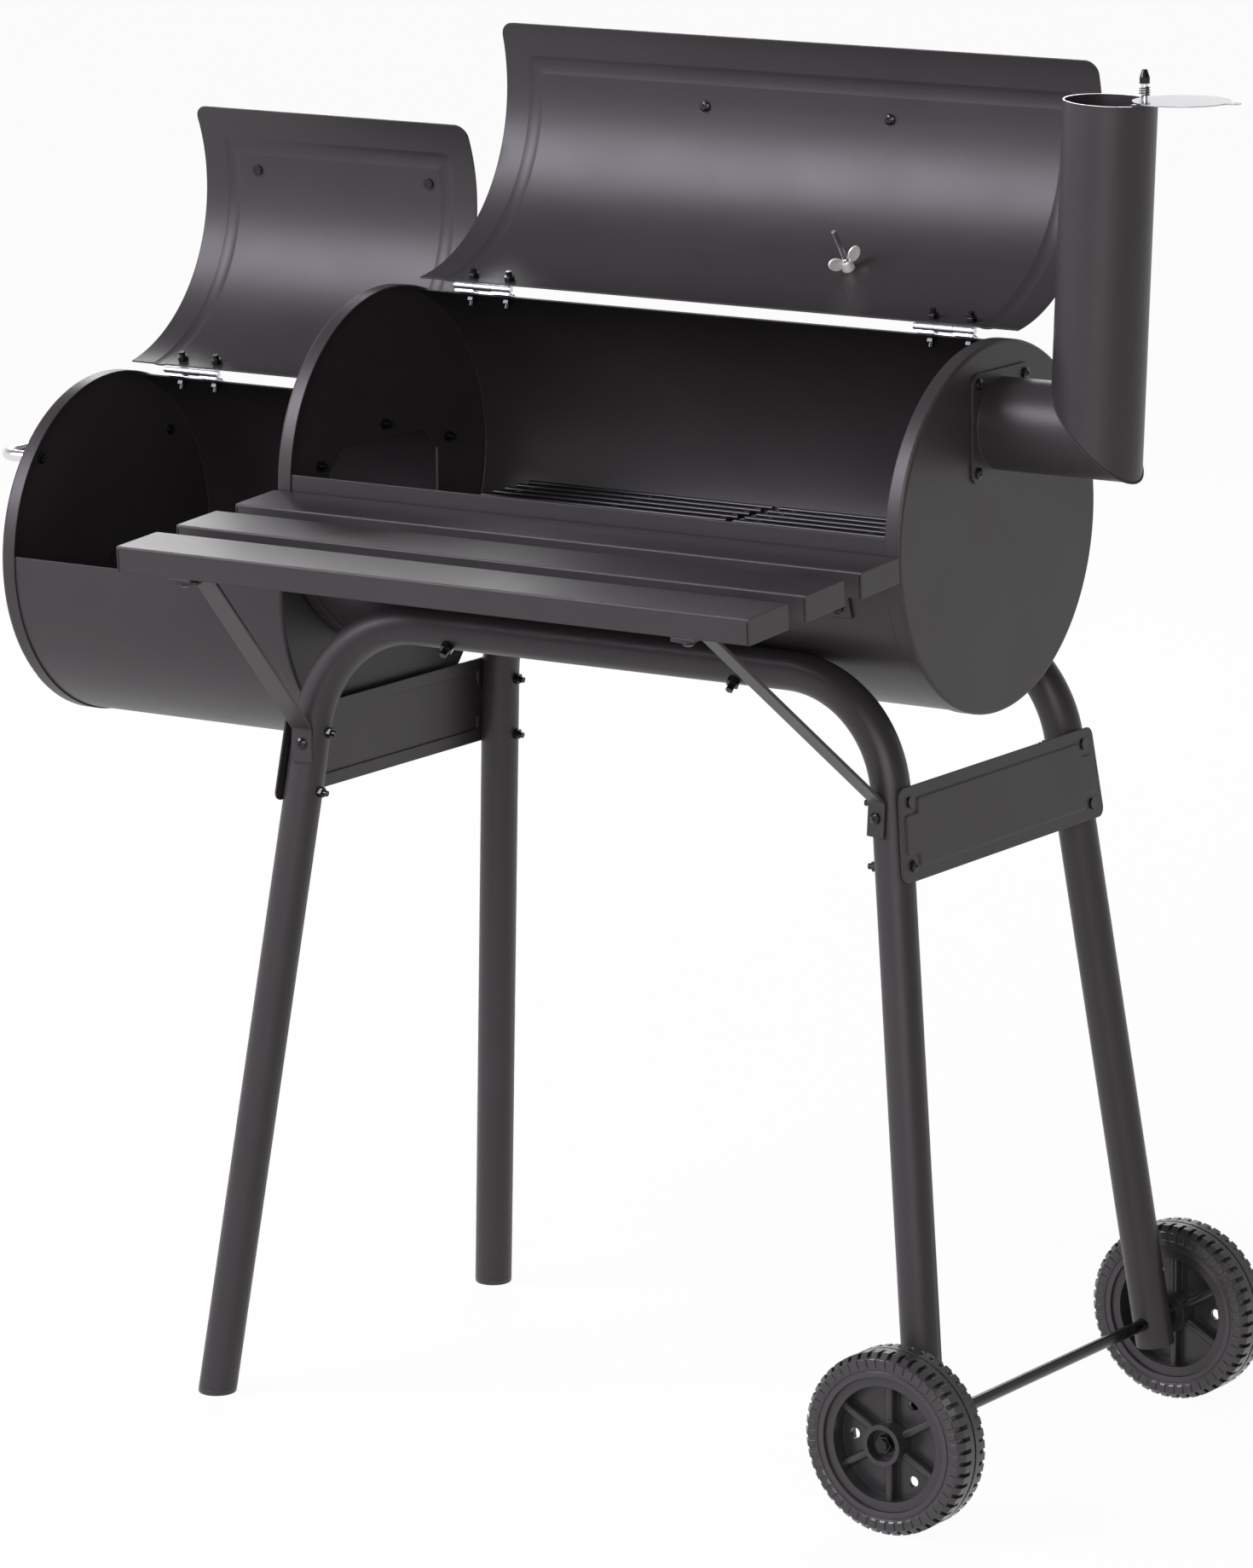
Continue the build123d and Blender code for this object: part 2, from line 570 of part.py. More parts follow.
LIDS = (("main_lid", chamber, CHAMBER_HINGES, CHAMBER_HANDLE_ARC),
        ("firebox_lid", firebox, FIREBOX_HINGES, FIREBOX_HANDLE_ARC))
dial_seat = chamber.seat(chamber.middle + DIAL_OFFSET, chamber.lid_out, chamber.lid_angle(DIAL_ARC))
dial_hole = dial_seat * Cylinder(STEM_RADIUS + HOLE_FIT, 4 * SHEET)
for name, barrel, places, arc in LIDS:
    handle_seats = lid_handle_seats(barrel, arc)
    body = lid(barrel, places, handle_seats)
    if barrel is chamber:
        body -= dial_hole
    keep(name, barrel.opened(body))
    middle = barrel.seat(barrel.middle, barrel.lid_out, barrel.lid_angle(arc))
    keep(name + "_handle", barrel.opened(bar_handle(middle)))
    for seat in handle_seats:
        keep(name + "_bolts", barrel.opened(handle_bolt(seat, SHEET)))
    for seat in hinge_seats(barrel, places, barrel.lid_out + LEAF_THICK + SEAT_GAP, -1):
        fixing = bolt(seat, LEAF_THICK + SHEET + 2 * SEAT_GAP, SMALL)
        keep(name + "_bolts", *[barrel.opened(piece) for piece in fixing])
    for x in places:
        keep(name + "_hinge_leaves", barrel.opened(upper_leaf(barrel, x)))

keep("side_handle", bar_handle(side_handle_seat))
for seat in side_handle_seats:
    keep("side_handle_bolts", handle_bolt(seat, SHEET))


# Thermometer: a case on the lid, its probe through the lid and a wing nut inside

def dial_case():
    top = DIAL_STAND + DIAL_DEPTH
    case = Pos(0, 0, DIAL_STAND) * Cylinder(DIAL_RADIUS, DIAL_DEPTH, align=ON)
    rim = case.edges().filter_by(GeomType.CIRCLE).sort_by(Axis.Z)
    case = chamfer([rim[0], rim[-1]], DIAL_WALL / 2)
    floor_z = DIAL_STAND + DIAL_FLOOR
    case -= Pos(0, 0, floor_z) * Cylinder(DIAL_RADIUS - DIAL_WALL, top, align=ON)
    case += Cylinder(2 * STEM_RADIUS, DIAL_STAND, align=ON)
    case += Cylinder(STEM_RADIUS, STEM_LENGTH, align=UNDER)
    case += Pos(0, 0, -STEM_LENGTH) * Cylinder(PROBE_RADIUS, PROBE_LENGTH, align=UNDER)
    return case + Pos(0, 0, floor_z) * Cylinder(NEEDLE_POST, 3 * NEEDLE_THICK, align=ON)


def dial_needle():
    turning = Cylinder(2 * NEEDLE_POST, NEEDLE_THICK, align=ON)
    pointer = make_face(Polyline((-NEEDLE_POST, 0), (NEEDLE_POST, 0), (NEEDLE_POST / 4, NEEDLE_LENGTH),
                                 (-NEEDLE_POST / 4, NEEDLE_LENGTH), close=True))
    turning += extrude(pointer, NEEDLE_THICK)
    turning -= Cylinder(NEEDLE_POST + RUN_FIT, 4 * NEEDLE_THICK)
    return Pos(0, 0, DIAL_STAND + DIAL_FLOOR + SIDE_PLAY) * turning


def wing_nut():
    """Hub and two raised ears, screwed up under the lid."""
    hub = Cylinder(WING_HUB, WING_HEIGHT, align=UNDER)
    half = WING_SPAN / 2
    ear = Polyline((0, 0), (half, -WING_RISE / 2), (half, -WING_RISE), (0, -WING_HEIGHT), close=True)
    for side in (0, 180):
        blade = fillet(make_face(ear).vertices().sort_by(Axis.X)[-2:], WING_THICK)
        hub += Rot(0, 0, side) * extrude(Plane.XZ * blade, WING_THICK / 2, both=True)
    hub -= Cylinder(STEM_RADIUS, 4 * WING_RISE)
    return Pos(0, 0, -SHEET - SEAT_GAP) * Rot(0, 0, WING_TURN) * hub


glass = Cylinder(DIAL_RADIUS - DIAL_WALL, GLASS_THICK, align=UNDER)
glass_z = DIAL_STAND + DIAL_DEPTH - GLASS_SINK
keep("thermometer_case", chamber.opened(dial_seat * dial_case()))
keep("thermometer_glass", chamber.opened(dial_seat * Pos(0, 0, glass_z) * glass))
keep("thermometer_needle", chamber.opened(dial_seat * Rot(0, 0, NEEDLE_REST) * dial_needle()))
keep("thermometer_wing_nut", chamber.opened(dial_seat * wing_nut()))


# Wire grates that rest on the curve of the shell

def grate(barrel, drop, x0, length):
    reach = sqrt((barrel.shell_in - WIRE_RADIUS - CAP_FIT) ** 2 - drop ** 2)
    count = int(2 * reach // WIRE_PITCH) + 1
    step = 2 * reach / (count - 1)
    level = barrel.axis_z - drop
    wires = [Pos(x0 + length / 2, -reach + step * i, level) * Rot(0, 90, 0) * Cylinder(WIRE_RADIUS, length)
             for i in range(count)]
    bar_top = level - WIRE_RADIUS / 2
    low = drop + WIRE_RADIUS / 2 + GRATE_BAR_DEPTH
    half = sqrt((barrel.shell_in - CAP_FIT) ** 2 - low ** 2)
    bars = [Pos(x, 0, bar_top) * Box(GRATE_BAR_WIDTH, 2 * half, GRATE_BAR_DEPTH, align=UNDER)
            for x in (x0 + GRATE_BAR_INSET, x0 + length / 2, x0 + length - GRATE_BAR_INSET)]
    return bars[0] + bars[1:] + wires


keep("cooking_grate_left", grate(chamber, COOKING_DROP, chamber.middle - COOKING_GAP / 2 - COOKING_LENGTH,
                                 COOKING_LENGTH))
keep("cooking_grate_right", grate(chamber, COOKING_DROP, chamber.middle + COOKING_GAP / 2, COOKING_LENGTH))
keep("firebox_grate", grate(firebox, FIRE_DROP, firebox.middle - FIRE_LENGTH / 2, FIRE_LENGTH))


# Tube frame

RIGHT_CORNER_X = CHAMBER_LENGTH - RIGHT_CORNER_INSET
TUBE_BORE = TUBE_RADIUS - TUBE_WALL
ENDS = {"left": (LEFT_CORNER_X, LEFT_FOOT_X, 0, LEFT_SPLAY),
        "right": (RIGHT_CORNER_X, AXLE_X, AXLE_Z, RIGHT_SPLAY)}
SIDES = {"front": -1, "rear": 1}


def leg_point(end, side, z):
    """Point on the straight part of a leg's centre line at a given height."""
    corner_x, low_x, low_z, splay = ENDS[end]
    share = (z - low_z) / (RAIL_Z - low_z)
    x = low_x + (corner_x - low_x) * share
    return Vector(x, side * (RAIL_Y + (RAIL_Z - z) * tan(radians(splay))), z)


def leg_tube(end, side, low_z, radius):
    """Solid bar along half a frame: from the joint along the rail, round the bend and down the leg."""
    joint = Vector(chamber.middle, side * RAIL_Y, RAIL_Z)
    corner = leg_point(end, side, RAIL_Z)
    path = FilletPolyline(joint, corner, leg_point(end, side, low_z), radius=TUBE_BEND)
    start = Plane(origin=joint, z_dir=corner - joint)
    return sweep(start * Circle(radius), path)


def along_leg(end, side, z):
    """Plane square to a leg at a given height, its z pointing up the leg."""
    low = leg_point(end, side, z)
    return Plane(origin=low, z_dir=leg_point(end, side, RAIL_Z) - low)


def cross(end):
    """Plane of a cross plate: on the outside of the two legs, x along the plate, y up, z outward."""
    middle = leg_point(end, 0, PLATE_Z)
    up = (leg_point(end, 0, RAIL_Z) - middle).normalized()
    along = Vector(0, 1 if end == "right" else -1, 0)
    out = along.cross(up)
    return Plane(origin=middle + out * TUBE_RADIUS, x_dir=along, z_dir=out)


def plate_half(end, rise):
    """Distance of a leg's centre line from the middle of its cross plate, at a height on the plate."""
    z = PLATE_Z + rise * cross(end).y_dir.Z
    return abs(leg_point(end, 1, z).Y)


def plate_seats(end):
    plane = cross(end) * Pos(0, 0, PLATE_THICK)
    return [plane * Pos(side * plate_half(end, rise), rise, 0)
            for side in (-1, 1) for rise in (-PLATE_BOLT_RISE, PLATE_BOLT_RISE)]


def plate_panel(end, inset):
    """Outline of the raised panel: the plate less a border, and less its corners round the bolts."""
    top = PLATE_HEIGHT / 2 - PANEL_EDGE - inset
    side = PLATE_BOLT_RISE - PANEL_BOLT - inset
    out = TUBE_RADIUS - PANEL_END - inset
    cut = -PANEL_BOLT - inset
    steps = [(cut, -top), (cut, -side), (out, -side), (out, side), (cut, side), (cut, top)]
    right = [(plate_half(end, rise) + shift, rise) for shift, rise in steps]
    left = [(-along, rise) for along, rise in reversed(right)]
    outline = make_face(Polyline(*right, *left, close=True))
    return fillet(outline.vertices(), PANEL_ROUND)


def cross_plate(end):
    top = PLATE_HEIGHT / 2
    wide = plate_half(end, -top) + TUBE_RADIUS
    narrow = plate_half(end, top) + TUBE_RADIUS
    outline = make_face(Polyline((-wide, -top), (wide, -top), (narrow, top), (-narrow, top), close=True))
    plate = extrude(fillet(outline.vertices(), PLATE_CORNER), PLATE_THICK)
    ridge = extrude(plate_panel(end, 0), PLATE_THICK + PANEL_RISE)
    ridge = chamfer(ridge.edges().group_by(Axis.Z)[-1], PANEL_SLOPE)
    plate = cross(end) * (plate + ridge - extrude(plate_panel(end, PLATE_THICK), PANEL_RISE))
    return plate - [hole(seat, 2 * PLATE_THICK, SMALL.shank) for seat in plate_seats(end)]


PLATE_GRIP = PLATE_THICK + 2 * TUBE_RADIUS


def strut_frame(end):
    """Plane of a shelf strut: origin on the leg, x towards the strut's top, y up, and where its top lies."""
    foot = leg_point(end, -1, STRUT_BOLT_Z)
    bearer = BEARERS[0] if end == "left" else BEARERS[1]
    under = -SLAT_HEIGHT - BEARER_THICK - STRUT_THICK / 2
    top = shelf.from_local_coords(Vector(bearer, -SHELF_DEPTH + STRUT_BACK, under))
    tip = shelf.from_local_coords(Vector(bearer, -SHELF_DEPTH + STRUT_TIP_IN, under))
    level = Vector(top.X - foot.X, top.Y - foot.Y, 0)
    along = level.normalized()
    plane = Plane(origin=foot, x_dir=along, z_dir=along.cross(Vector(0, 0, 1)))
    return plane, plane.to_local_coords(top), plane.to_local_coords(tip)


def strut_slope(end):
    """How far a leg moves along its strut's plane for each millimetre up."""
    plane, _, _ = strut_frame(end)
    rise = leg_point(end, -1, STRUT_BOLT_Z + 1) - leg_point(end, -1, STRUT_BOLT_Z)
    return rise.dot(plane.x_dir)


def strut_seat(end):
    """Seat of the bolt through a strut's foot and its leg."""
    plane, _, _ = strut_frame(end)
    slope = strut_slope(end)
    out = (plane.x_dir - Vector(0, 0, 1) * slope).normalized()
    return Plane(origin=plane.origin + out * (TUBE_RADIUS + STRUT_THICK), z_dir=out)


def strut(end):
    plane, top, tip = strut_frame(end)
    slope = strut_slope(end)
    stand = (TUBE_RADIUS + STRUT_THICK / 2) * sqrt(1 + slope ** 2)
    line = FilletPolyline((stand - slope * STRUT_TAB, -STRUT_TAB), (stand + slope * STRUT_TAB, STRUT_TAB),
                          (top.X, top.Y), (tip.X, tip.Y), radius=STRUT_BEND)
    bar = extrude(plane * trace(line, STRUT_THICK), STRUT_WIDTH / 2, both=True)
    above = shelf * Pos(chamber.middle, -SHELF_DEPTH / 2, -SLAT_HEIGHT - BEARER_THICK)
    bar -= above * Box(CHAMBER_LENGTH, 2 * SHELF_DEPTH, SLAT_HEIGHT, align=ON)
    return bar - hole(strut_seat(end), 3 * STRUT_THICK, SMALL.shank) - slat_holes()


def slat_starts():
    return [-i * (SLAT_WIDTH + SLAT_GAP) for i in range(SLAT_COUNT)]


def slat_grip(last):
    """What a slat's bolt clamps: at the front the strut as well."""
    return BEARER_THICK + SHEET + (STRUT_THICK + SEAT_GAP if last else 0)


def slat_seats():
    """Seats of the bolts that hold the slats to the bearers, on the underside, pointing down."""
    seats = []
    for x in BEARERS:
        for i, start in enumerate(slat_starts()):
            last = i == SLAT_COUNT - 1
            depth = SLAT_HEIGHT - SHEET + slat_grip(last)
            seats.append(shelf * Pos(x, start - SLAT_WIDTH + SLAT_BOLT_IN, -depth) * Rot(180, 0, 0))
    return seats


def slat_holes():
    return [hole(seat, 2 * BEARER_THICK + STRUT_THICK, SMALL.shank) for seat in slat_seats()]


def slat(start):
    """Folded slat: top, sides and ends from one sheet, with inturned flanges below and slit corners."""
    length = CHAMBER_LENGTH
    box = Pos(length / 2, start - SLAT_WIDTH / 2, 0) * Box(length, SLAT_WIDTH, SLAT_HEIGHT, align=UNDER)
    box = fillet(box.edges().filter_by(Axis.X).group_by(Axis.Z)[-1], SLAT_ROUND)
    room = Box(length - 2 * SHEET, SLAT_WIDTH - 2 * SHEET, SLAT_HEIGHT - 2 * SHEET, align=UNDER)
    mouth = Box(length - 2 * SHEET, SLAT_WIDTH - 2 * SLAT_RETURN, SLAT_HEIGHT - SHEET, align=UNDER)
    box -= Pos(length / 2, start - SLAT_WIDTH / 2, -SHEET) * (room + mouth)
    slit = Box(SLAT_SLIT, SLAT_RETURN, SLAT_HEIGHT, align=UNDER)
    for x in (SHEET + SLAT_SLIT / 2, length - SHEET - SLAT_SLIT / 2):
        for y in (start - SLAT_RETURN / 2, start - SLAT_WIDTH + SLAT_RETURN / 2):
            box -= Pos(x, y, -2 * SLAT_ROUND) * slit
    return shelf * box - slat_holes()


def bearer(x):
    """Flat bar under the slats with a curved tab bolted to the front of the chamber."""
    length = SHELF_DEPTH + 2 * BEARER_THICK
    bar = Pos(x, 2 * BEARER_THICK, -SLAT_HEIGHT) * Box(BEARER_WIDTH, length, BEARER_THICK,
                                                      align=(Align.CENTER, Align.MAX, Align.MAX))
    half = BEARER_WIDTH / 2
    drum = Pos(x, 0, CHAMBER_AXIS_Z) * Rot(0, 90, 0) * Cylinder(chamber.shell_out, 2 * BEARER_WIDTH)
    tab = chamber.sheet(chamber.shell_out, tab_out, tab_end, tab_start, x - half, x + half)
    return shelf * bar - drum + tab - tab_holes - slat_holes()


keep("left_shelf_bearer", bearer(BEARERS[0]))
keep("right_shelf_bearer", bearer(BEARERS[1]))
for name, start in zip(("rear_slat", "middle_slat", "front_slat"), slat_starts()):
    keep(name, slat(start))
for index, seat in enumerate(slat_seats()):
    last = index % SLAT_COUNT == SLAT_COUNT - 1
    keep("shelf_bolts", *bolt(seat, slat_grip(last), SMALL))
for seat in tab_seats:
    keep("shelf_bolts", *bolt(seat * Pos(0, 0, SEAT_GAP), BEARER_THICK + SHEET + 2 * SEAT_GAP, SMALL))
for end in ENDS:
    keep(end + "_shelf_strut", strut(end))
    keep("shelf_bolts", *bolt(strut_seat(end), STRUT_THICK + 2 * TUBE_RADIUS, SMALL))
    keep(end + "_side_plate", cross_plate(end))
    for seat in plate_seats(end):
        keep("side_plate_bolts", *bolt(seat, PLATE_GRIP, SMALL))


def foot_plug(side):
    """Plug in the foot of a left leg, flat on the floor."""
    axis = along_leg("left", side, 0)
    lying = 2 * TUBE_RADIUS
    body = split(axis * Cylinder(TUBE_RADIUS, lying), Plane.XY, keep=Keep.TOP)
    body = split(body, Plane.XY.offset(FOOT_PLUG), keep=Keep.BOTTOM)
    body = fillet(body.edges().group_by(Axis.Z)[0], FOOT_ROUND)
    core = axis * Cylinder(TUBE_BORE - PLUG_FIT, 2 * FOOT_PLUG_DEPTH)
    return body + split(core, Plane.XY.offset(FOOT_PLUG / 2), keep=Keep.TOP)


def leg(end, side):
    holes = [hole(seat, PLATE_GRIP + SMALL.nut, SMALL.shank) for seat in plate_seats(end)]
    holes += rail_holes
    if side < 0:
        holes.append(hole(strut_seat(end), 2 * TUBE_RADIUS + 2 * STRUT_THICK, SMALL.shank))
    if end == "left":
        low = -2 * TUBE_RADIUS
        tube = leg_tube(end, side, low, TUBE_RADIUS) - leg_tube(end, side, low, TUBE_BORE)
        tube = split(tube, Plane.XY.offset(FOOT_PLUG), keep=Keep.TOP)
        joint = Pos(chamber.middle, side * RAIL_Y, RAIL_Z) * Rot(0, 90, 0)
        tube += joint * Cylinder(TUBE_BORE + TUBE_WALL / 2, JOINT_PLUG, align=UNDER)
        tube += joint * Cylinder(TUBE_BORE - PLUG_FIT, JOINT_PLUG, align=ON)
        tube -= joint * Cylinder(TUBE_BORE - TUBE_WALL, 2 * JOINT_PLUG + TUBE_WALL)
    else:
        low = AXLE_Z - LEG_BELOW_AXLE
        tube = leg_tube(end, side, low, TUBE_RADIUS) - leg_tube(end, side, low, TUBE_BORE)
        holes.append(Pos(AXLE_X, 0, AXLE_Z) * Rot(90, 0, 0) * Cylinder(AXLE_RADIUS + HOLE_FIT, 2 * axle_half))
    return tube - holes


# Axle, with the wheels held between spacers and nuts
hub_inner = WHEEL_INNER_Y - HUB_PROUD
hub_outer = WHEEL_INNER_Y + WHEEL_WIDTH + HUB_PROUD
washer_y = hub_outer - HUB_RECESS + AXLE_PLAY
axle_half = washer_y + WASHER_THICK + AXLE_NUT_HEIGHT + AXLE_END
leg_side = leg_point("right", 1, AXLE_Z - SPACER_RADIUS).Y + TUBE_RADIUS / cos(radians(RIGHT_SPLAY))


def axle_side(side):
    """Plane square to the axle, its z pointing out past the wheel."""
    return Plane(origin=(AXLE_X, 0, AXLE_Z), x_dir=(1, 0, 0), z_dir=(0, side, 0))


def axle_ring(side, start, end, outline):
    ring = extrude(outline, end - start) - Cylinder(AXLE_RADIUS, 2 * (end - start))
    return axle_side(side) * Pos(0, 0, start) * ring


for side_name, side in SIDES.items():
    for end in ENDS:
        keep(side_name + "_" + end + "_leg", leg(end, side))
    keep("leg_end_caps", foot_plug(side))
    keep("axle_nuts", axle_ring(side, leg_side, hub_inner - AXLE_PLAY, Circle(SPACER_RADIUS)))
    keep("axle_nuts", axle_ring(side, washer_y, washer_y + WASHER_THICK, Circle(WASHER_RADIUS)))
    nut = RegularPolygon(AXLE_NUT_FLATS / 2, 6, major_radius=False)
    keep("axle_nuts", axle_ring(side, washer_y + WASHER_THICK, axle_half - AXLE_END, nut))
keep("axle", Pos(AXLE_X, 0, AXLE_Z) * Rot(90, 0, 0) * Cylinder(AXLE_RADIUS, 2 * axle_half))


# Wheels, drawn with their inner face on z = 0

def tyre():
    """Tyre with two rows of tread blocks and a seam groove between them."""
    high = WHEEL_RADIUS - TYRE_BORE
    section = Pos(TYRE_BORE + high / 2, WHEEL_WIDTH / 2) * Rectangle(high, WHEEL_WIDTH)
    shoulder = section.vertices().group_by(Axis.X)[-1]
    section = chamfer(shoulder, TYRE_SHOULDER)
    section -= Pos(WHEEL_RADIUS, WHEEL_WIDTH / 2) * Rectangle(2 * SEAM_DEPTH, SEAM_WIDTH)
    for face in (0, WHEEL_WIDTH):
        section -= Pos(SIDE_RING, face) * Rectangle(SIDE_RING_WIDTH, 2 * SIDE_RING_DEPTH)
    body = revolve(Plane.XZ * section, Axis.Z)
    low = WHEEL_RADIUS - TREAD_DEPTH
    slots = []
    for spot in PolarLocations(low, TREAD_COUNT):
        slots.append(spot * Box(TREAD_DEPTH + TYRE_SHOULDER, TREAD_SLOT, TREAD_REACH,
                                align=(Align.MIN, Align.CENTER, Align.MIN)))
    half_step = Rot(0, 0, 180 / TREAD_COUNT)
    far = [Pos(0, 0, WHEEL_WIDTH - TREAD_REACH) * half_step * slot for slot in slots]
    return body - (slots + far)


def wheel_rim():
    """Moulded wheel: rim ring, web with holes, spokes and hub."""
    middle = WHEEL_WIDTH / 2
    ring = Cylinder(TYRE_BORE, RIM_WIDTH) - Cylinder(RIM_INNER, RIM_WIDTH)
    reach = (RIM_INNER + TYRE_BORE) / 2
    half_step = 180 / SPOKE_COUNT
    web = Cylinder(reach, WEB_THICK)
    spots = PolarLocations(WEB_HOLE_CIRCLE, WEB_HOLE_COUNT, half_step)
    web -= [spot * Cylinder(WEB_HOLE, WEB_THICK) for spot in spots]
    hub = Cylinder(HUB_RADIUS, WHEEL_WIDTH + 2 * HUB_PROUD)
    body = ring + web + hub
    length = reach - HUB_RADIUS / 2
    spoke = Box(length, SPOKE_WIDTH, SPOKE_DEPTH)
    spoke = fillet(spoke.edges().filter_by(Axis.X), SPOKE_ROUND)
    for spot in PolarLocations(HUB_RADIUS / 2 + length / 2, SPOKE_COUNT, 0):
        body += spot * spoke
    body -= Pos(0, 0, middle + HUB_PROUD) * Cylinder(HUB_POCKET, HUB_RECESS, align=UNDER)
    return Pos(0, 0, middle) * (body - Cylinder(AXLE_RADIUS + RUN_FIT, 2 * WHEEL_WIDTH))


for side_name, side in SIDES.items():
    place = axle_side(side) * Pos(0, 0, WHEEL_INNER_Y) * Rot(0, 0, WHEEL_REST[side_name])
    keep(side_name + "_wheel_tyre", place * tyre())
    keep(side_name + "_wheel_rim", place * wheel_rim())


# Chimney: a flanged stub and an upright pipe, joined by a mitre

elbow = Vector(CHAMBER_LENGTH + ELBOW_OUT, 0, CHIMNEY_Z)
lean = radians(CHIMNEY_LEAN)
upright = Vector(sin(lean), 0, cos(lean))
pipe_plane = Plane(origin=elbow, x_dir=(cos(lean), 0, -sin(lean)), z_dir=upright)
pipe_length = (CHIMNEY_TOP_Z - CHIMNEY_Z) / cos(lean)
mitre = Plane(origin=elbow, z_dir=upright + Vector(1, 0, 0))
pipe_top = pipe_plane * Pos(0, 0, pipe_length)
pivot = Plane(origin=(pipe_top * Pos(PIVOT_OFFSET, 0, 0)).position, x_dir=(1, 0, 0), z_dir=(0, 0, 1))


def pipe(length):
    """Thin pipe that runs from well behind the mitre, z = 0, to its end."""
    tail = 2 * PIPE_RADIUS
    ring = extrude(Circle(PIPE_RADIUS) - Circle(pipe_bore), length + tail)
    return Pos(0, 0, -tail) * ring


def chimney_pipe():
    """Upright pipe with the level ear that carries the damper's bolt."""
    body = split(pipe_plane * pipe(pipe_length), mitre, keep=Keep.TOP)
    ear = Pos(-EAR_WIDTH / 2, 0, 0) * Box(EAR_WIDTH, EAR_WIDTH, EAR_THICK,
                                          align=(Align.MIN, Align.CENTER, Align.MAX))
    inside = pipe_top * Cylinder(PIPE_RADIUS - PIPE_WALL / 2, 4 * EAR_THICK)
    return body + (pivot * ear & inside) - pivot * Cylinder(SMALL.shank, 4 * EAR_THICK)


def chimney_stub():
    """Stub along x with the square flange that is bolted to the chamber's right cap."""
    back = Plane(origin=elbow, z_dir=(-1, 0, 0))
    body = split(back * pipe(ELBOW_OUT), mitre, keep=Keep.BOTTOM)
    flange = extrude(RectangleRounded(FLANGE_SIZE, FLANGE_SIZE, FLANGE_CORNER), FLANGE_THICK)
    flange -= Cylinder(pipe_bore, 4 * FLANGE_THICK)
    return body + flange_seat * flange - flange_holes


keep("chimney_pipe", chimney_pipe())
keep("chimney_stub", chimney_stub())
for seat in flange_seats:
    keep("chimney_bolts", *bolt(seat, FLANGE_THICK + SHEET, SMALL))


# Chimney damper: a disc that swings on an upright bolt, pressed down by a spring under a cap nut.
# The bolt's collar holds it clear of the rim, which leans with the pipe.

collar = (PIVOT_OFFSET + PIPE_RADIUS) * tan(lean)
disc_z = collar + SIDE_PLAY
spring_z = disc_z + DAMPER_THICK + SIDE_PLAY
nut_z = spring_z + SPRING_LENGTH


def damper_disc():
    """Disc drawn about the pivot with the pipe closed, then swung open."""
    disc = Pos(-PIVOT_OFFSET, 0) * Circle(DAMPER_RADIUS)
    tab = Pos(-PIVOT_OFFSET - DAMPER_RADIUS, 0) * SlotOverall(2 * DAMPER_TAB, DAMPER_TAB_WIDTH)
    sheet = disc + tab - Circle(SMALL.shank + RUN_FIT)
    return Rot(0, 0, -DAMPER_OPEN) * extrude(sheet, DAMPER_THICK)


def arc_pair(start, start_way, end, end_way):
    """Two arcs that leave a point one way and reach another point another way (a biarc)."""
    gap = end - start
    ways = start_way + end_way
    bend = 2 * (1 - start_way.dot(end_way))
    along = gap.dot(ways)
    step = (sqrt(along ** 2 + bend * gap.dot(gap)) - along) / bend
    middle = (start + start_way * step + end - end_way * step) * 0.5
    first = TangentArc(start, middle, tangent=start_way)
    second = TangentArc(middle, end, tangent=first % 1)
    return [first, second]


def spring_path():
    """Straight ends one wire long, square to their seats, and a helix of half-turn biarcs between them."""
    lead = SPRING_END_TURN
    rise = SPRING_LENGTH - 2 * SPRING_WIRE - 2 * SPRING_END_RISE
    pitch = rise / SPRING_TURNS

    def helix(turned):
        angle = radians(turned)
        return Vector(SPRING_RADIUS * cos(angle), SPRING_RADIUS * sin(angle),
                      SPRING_WIRE + SPRING_END_RISE + pitch * turned / 360)

    def way(turned):
        angle = radians(turned)
        run = 2 * pi * SPRING_RADIUS
        return Vector(-run * sin(angle), run * cos(angle), pitch).normalized()

    total = 360 * SPRING_TURNS
    up = Vector(0, 0, 1)
    low = Vector(SPRING_RADIUS * cos(radians(lead)), -SPRING_RADIUS * sin(radians(lead)), SPRING_WIRE)
    high_angle = radians(total + lead)
    high_z = SPRING_LENGTH - SPRING_WIRE
    high = Vector(SPRING_RADIUS * cos(high_angle), SPRING_RADIUS * sin(high_angle), high_z)
    edges = [Line(low - up * SPRING_WIRE, low)]
    edges += arc_pair(low, up, helix(0), way(0))
    steps = int(2 * SPRING_TURNS)
    for i in range(steps):
        edges += arc_pair(helix(180 * i), way(180 * i), helix(180 * (i + 1)), way(180 * (i + 1)))
    edges += arc_pair(helix(total), way(total), high, up)
    edges.append(Line(high, high + up * SPRING_WIRE))
    return edges


def least_gap(edges):
    """Least gap between stretches of the wire that are more than half a turn apart, on points."""
    points = []
    travelled = 0
    for edge in edges:
        count = ceil(edge.length / (SPRING_WIRE / 3))
        for i in range(count):
            points.append((travelled + edge.length * i / count, edge @ (i / count)))
        travelled += edge.length
    apart = pi * SPRING_RADIUS
    gaps = [(a - b).length for i, (s, a) in enumerate(points) for t, b in points[:i] if s - t > apart]
    return min(gaps) - SPRING_WIRE


def damper_spring():
    edges = spring_path()
    print("damper spring: least gap between its turns", round(least_gap(edges), 2), "mm")
    start = Plane(origin=edges[0] @ 0, z_dir=(0, 0, 1))
    return sweep(start * Circle(SPRING_WIRE / 2), Wire(edges))


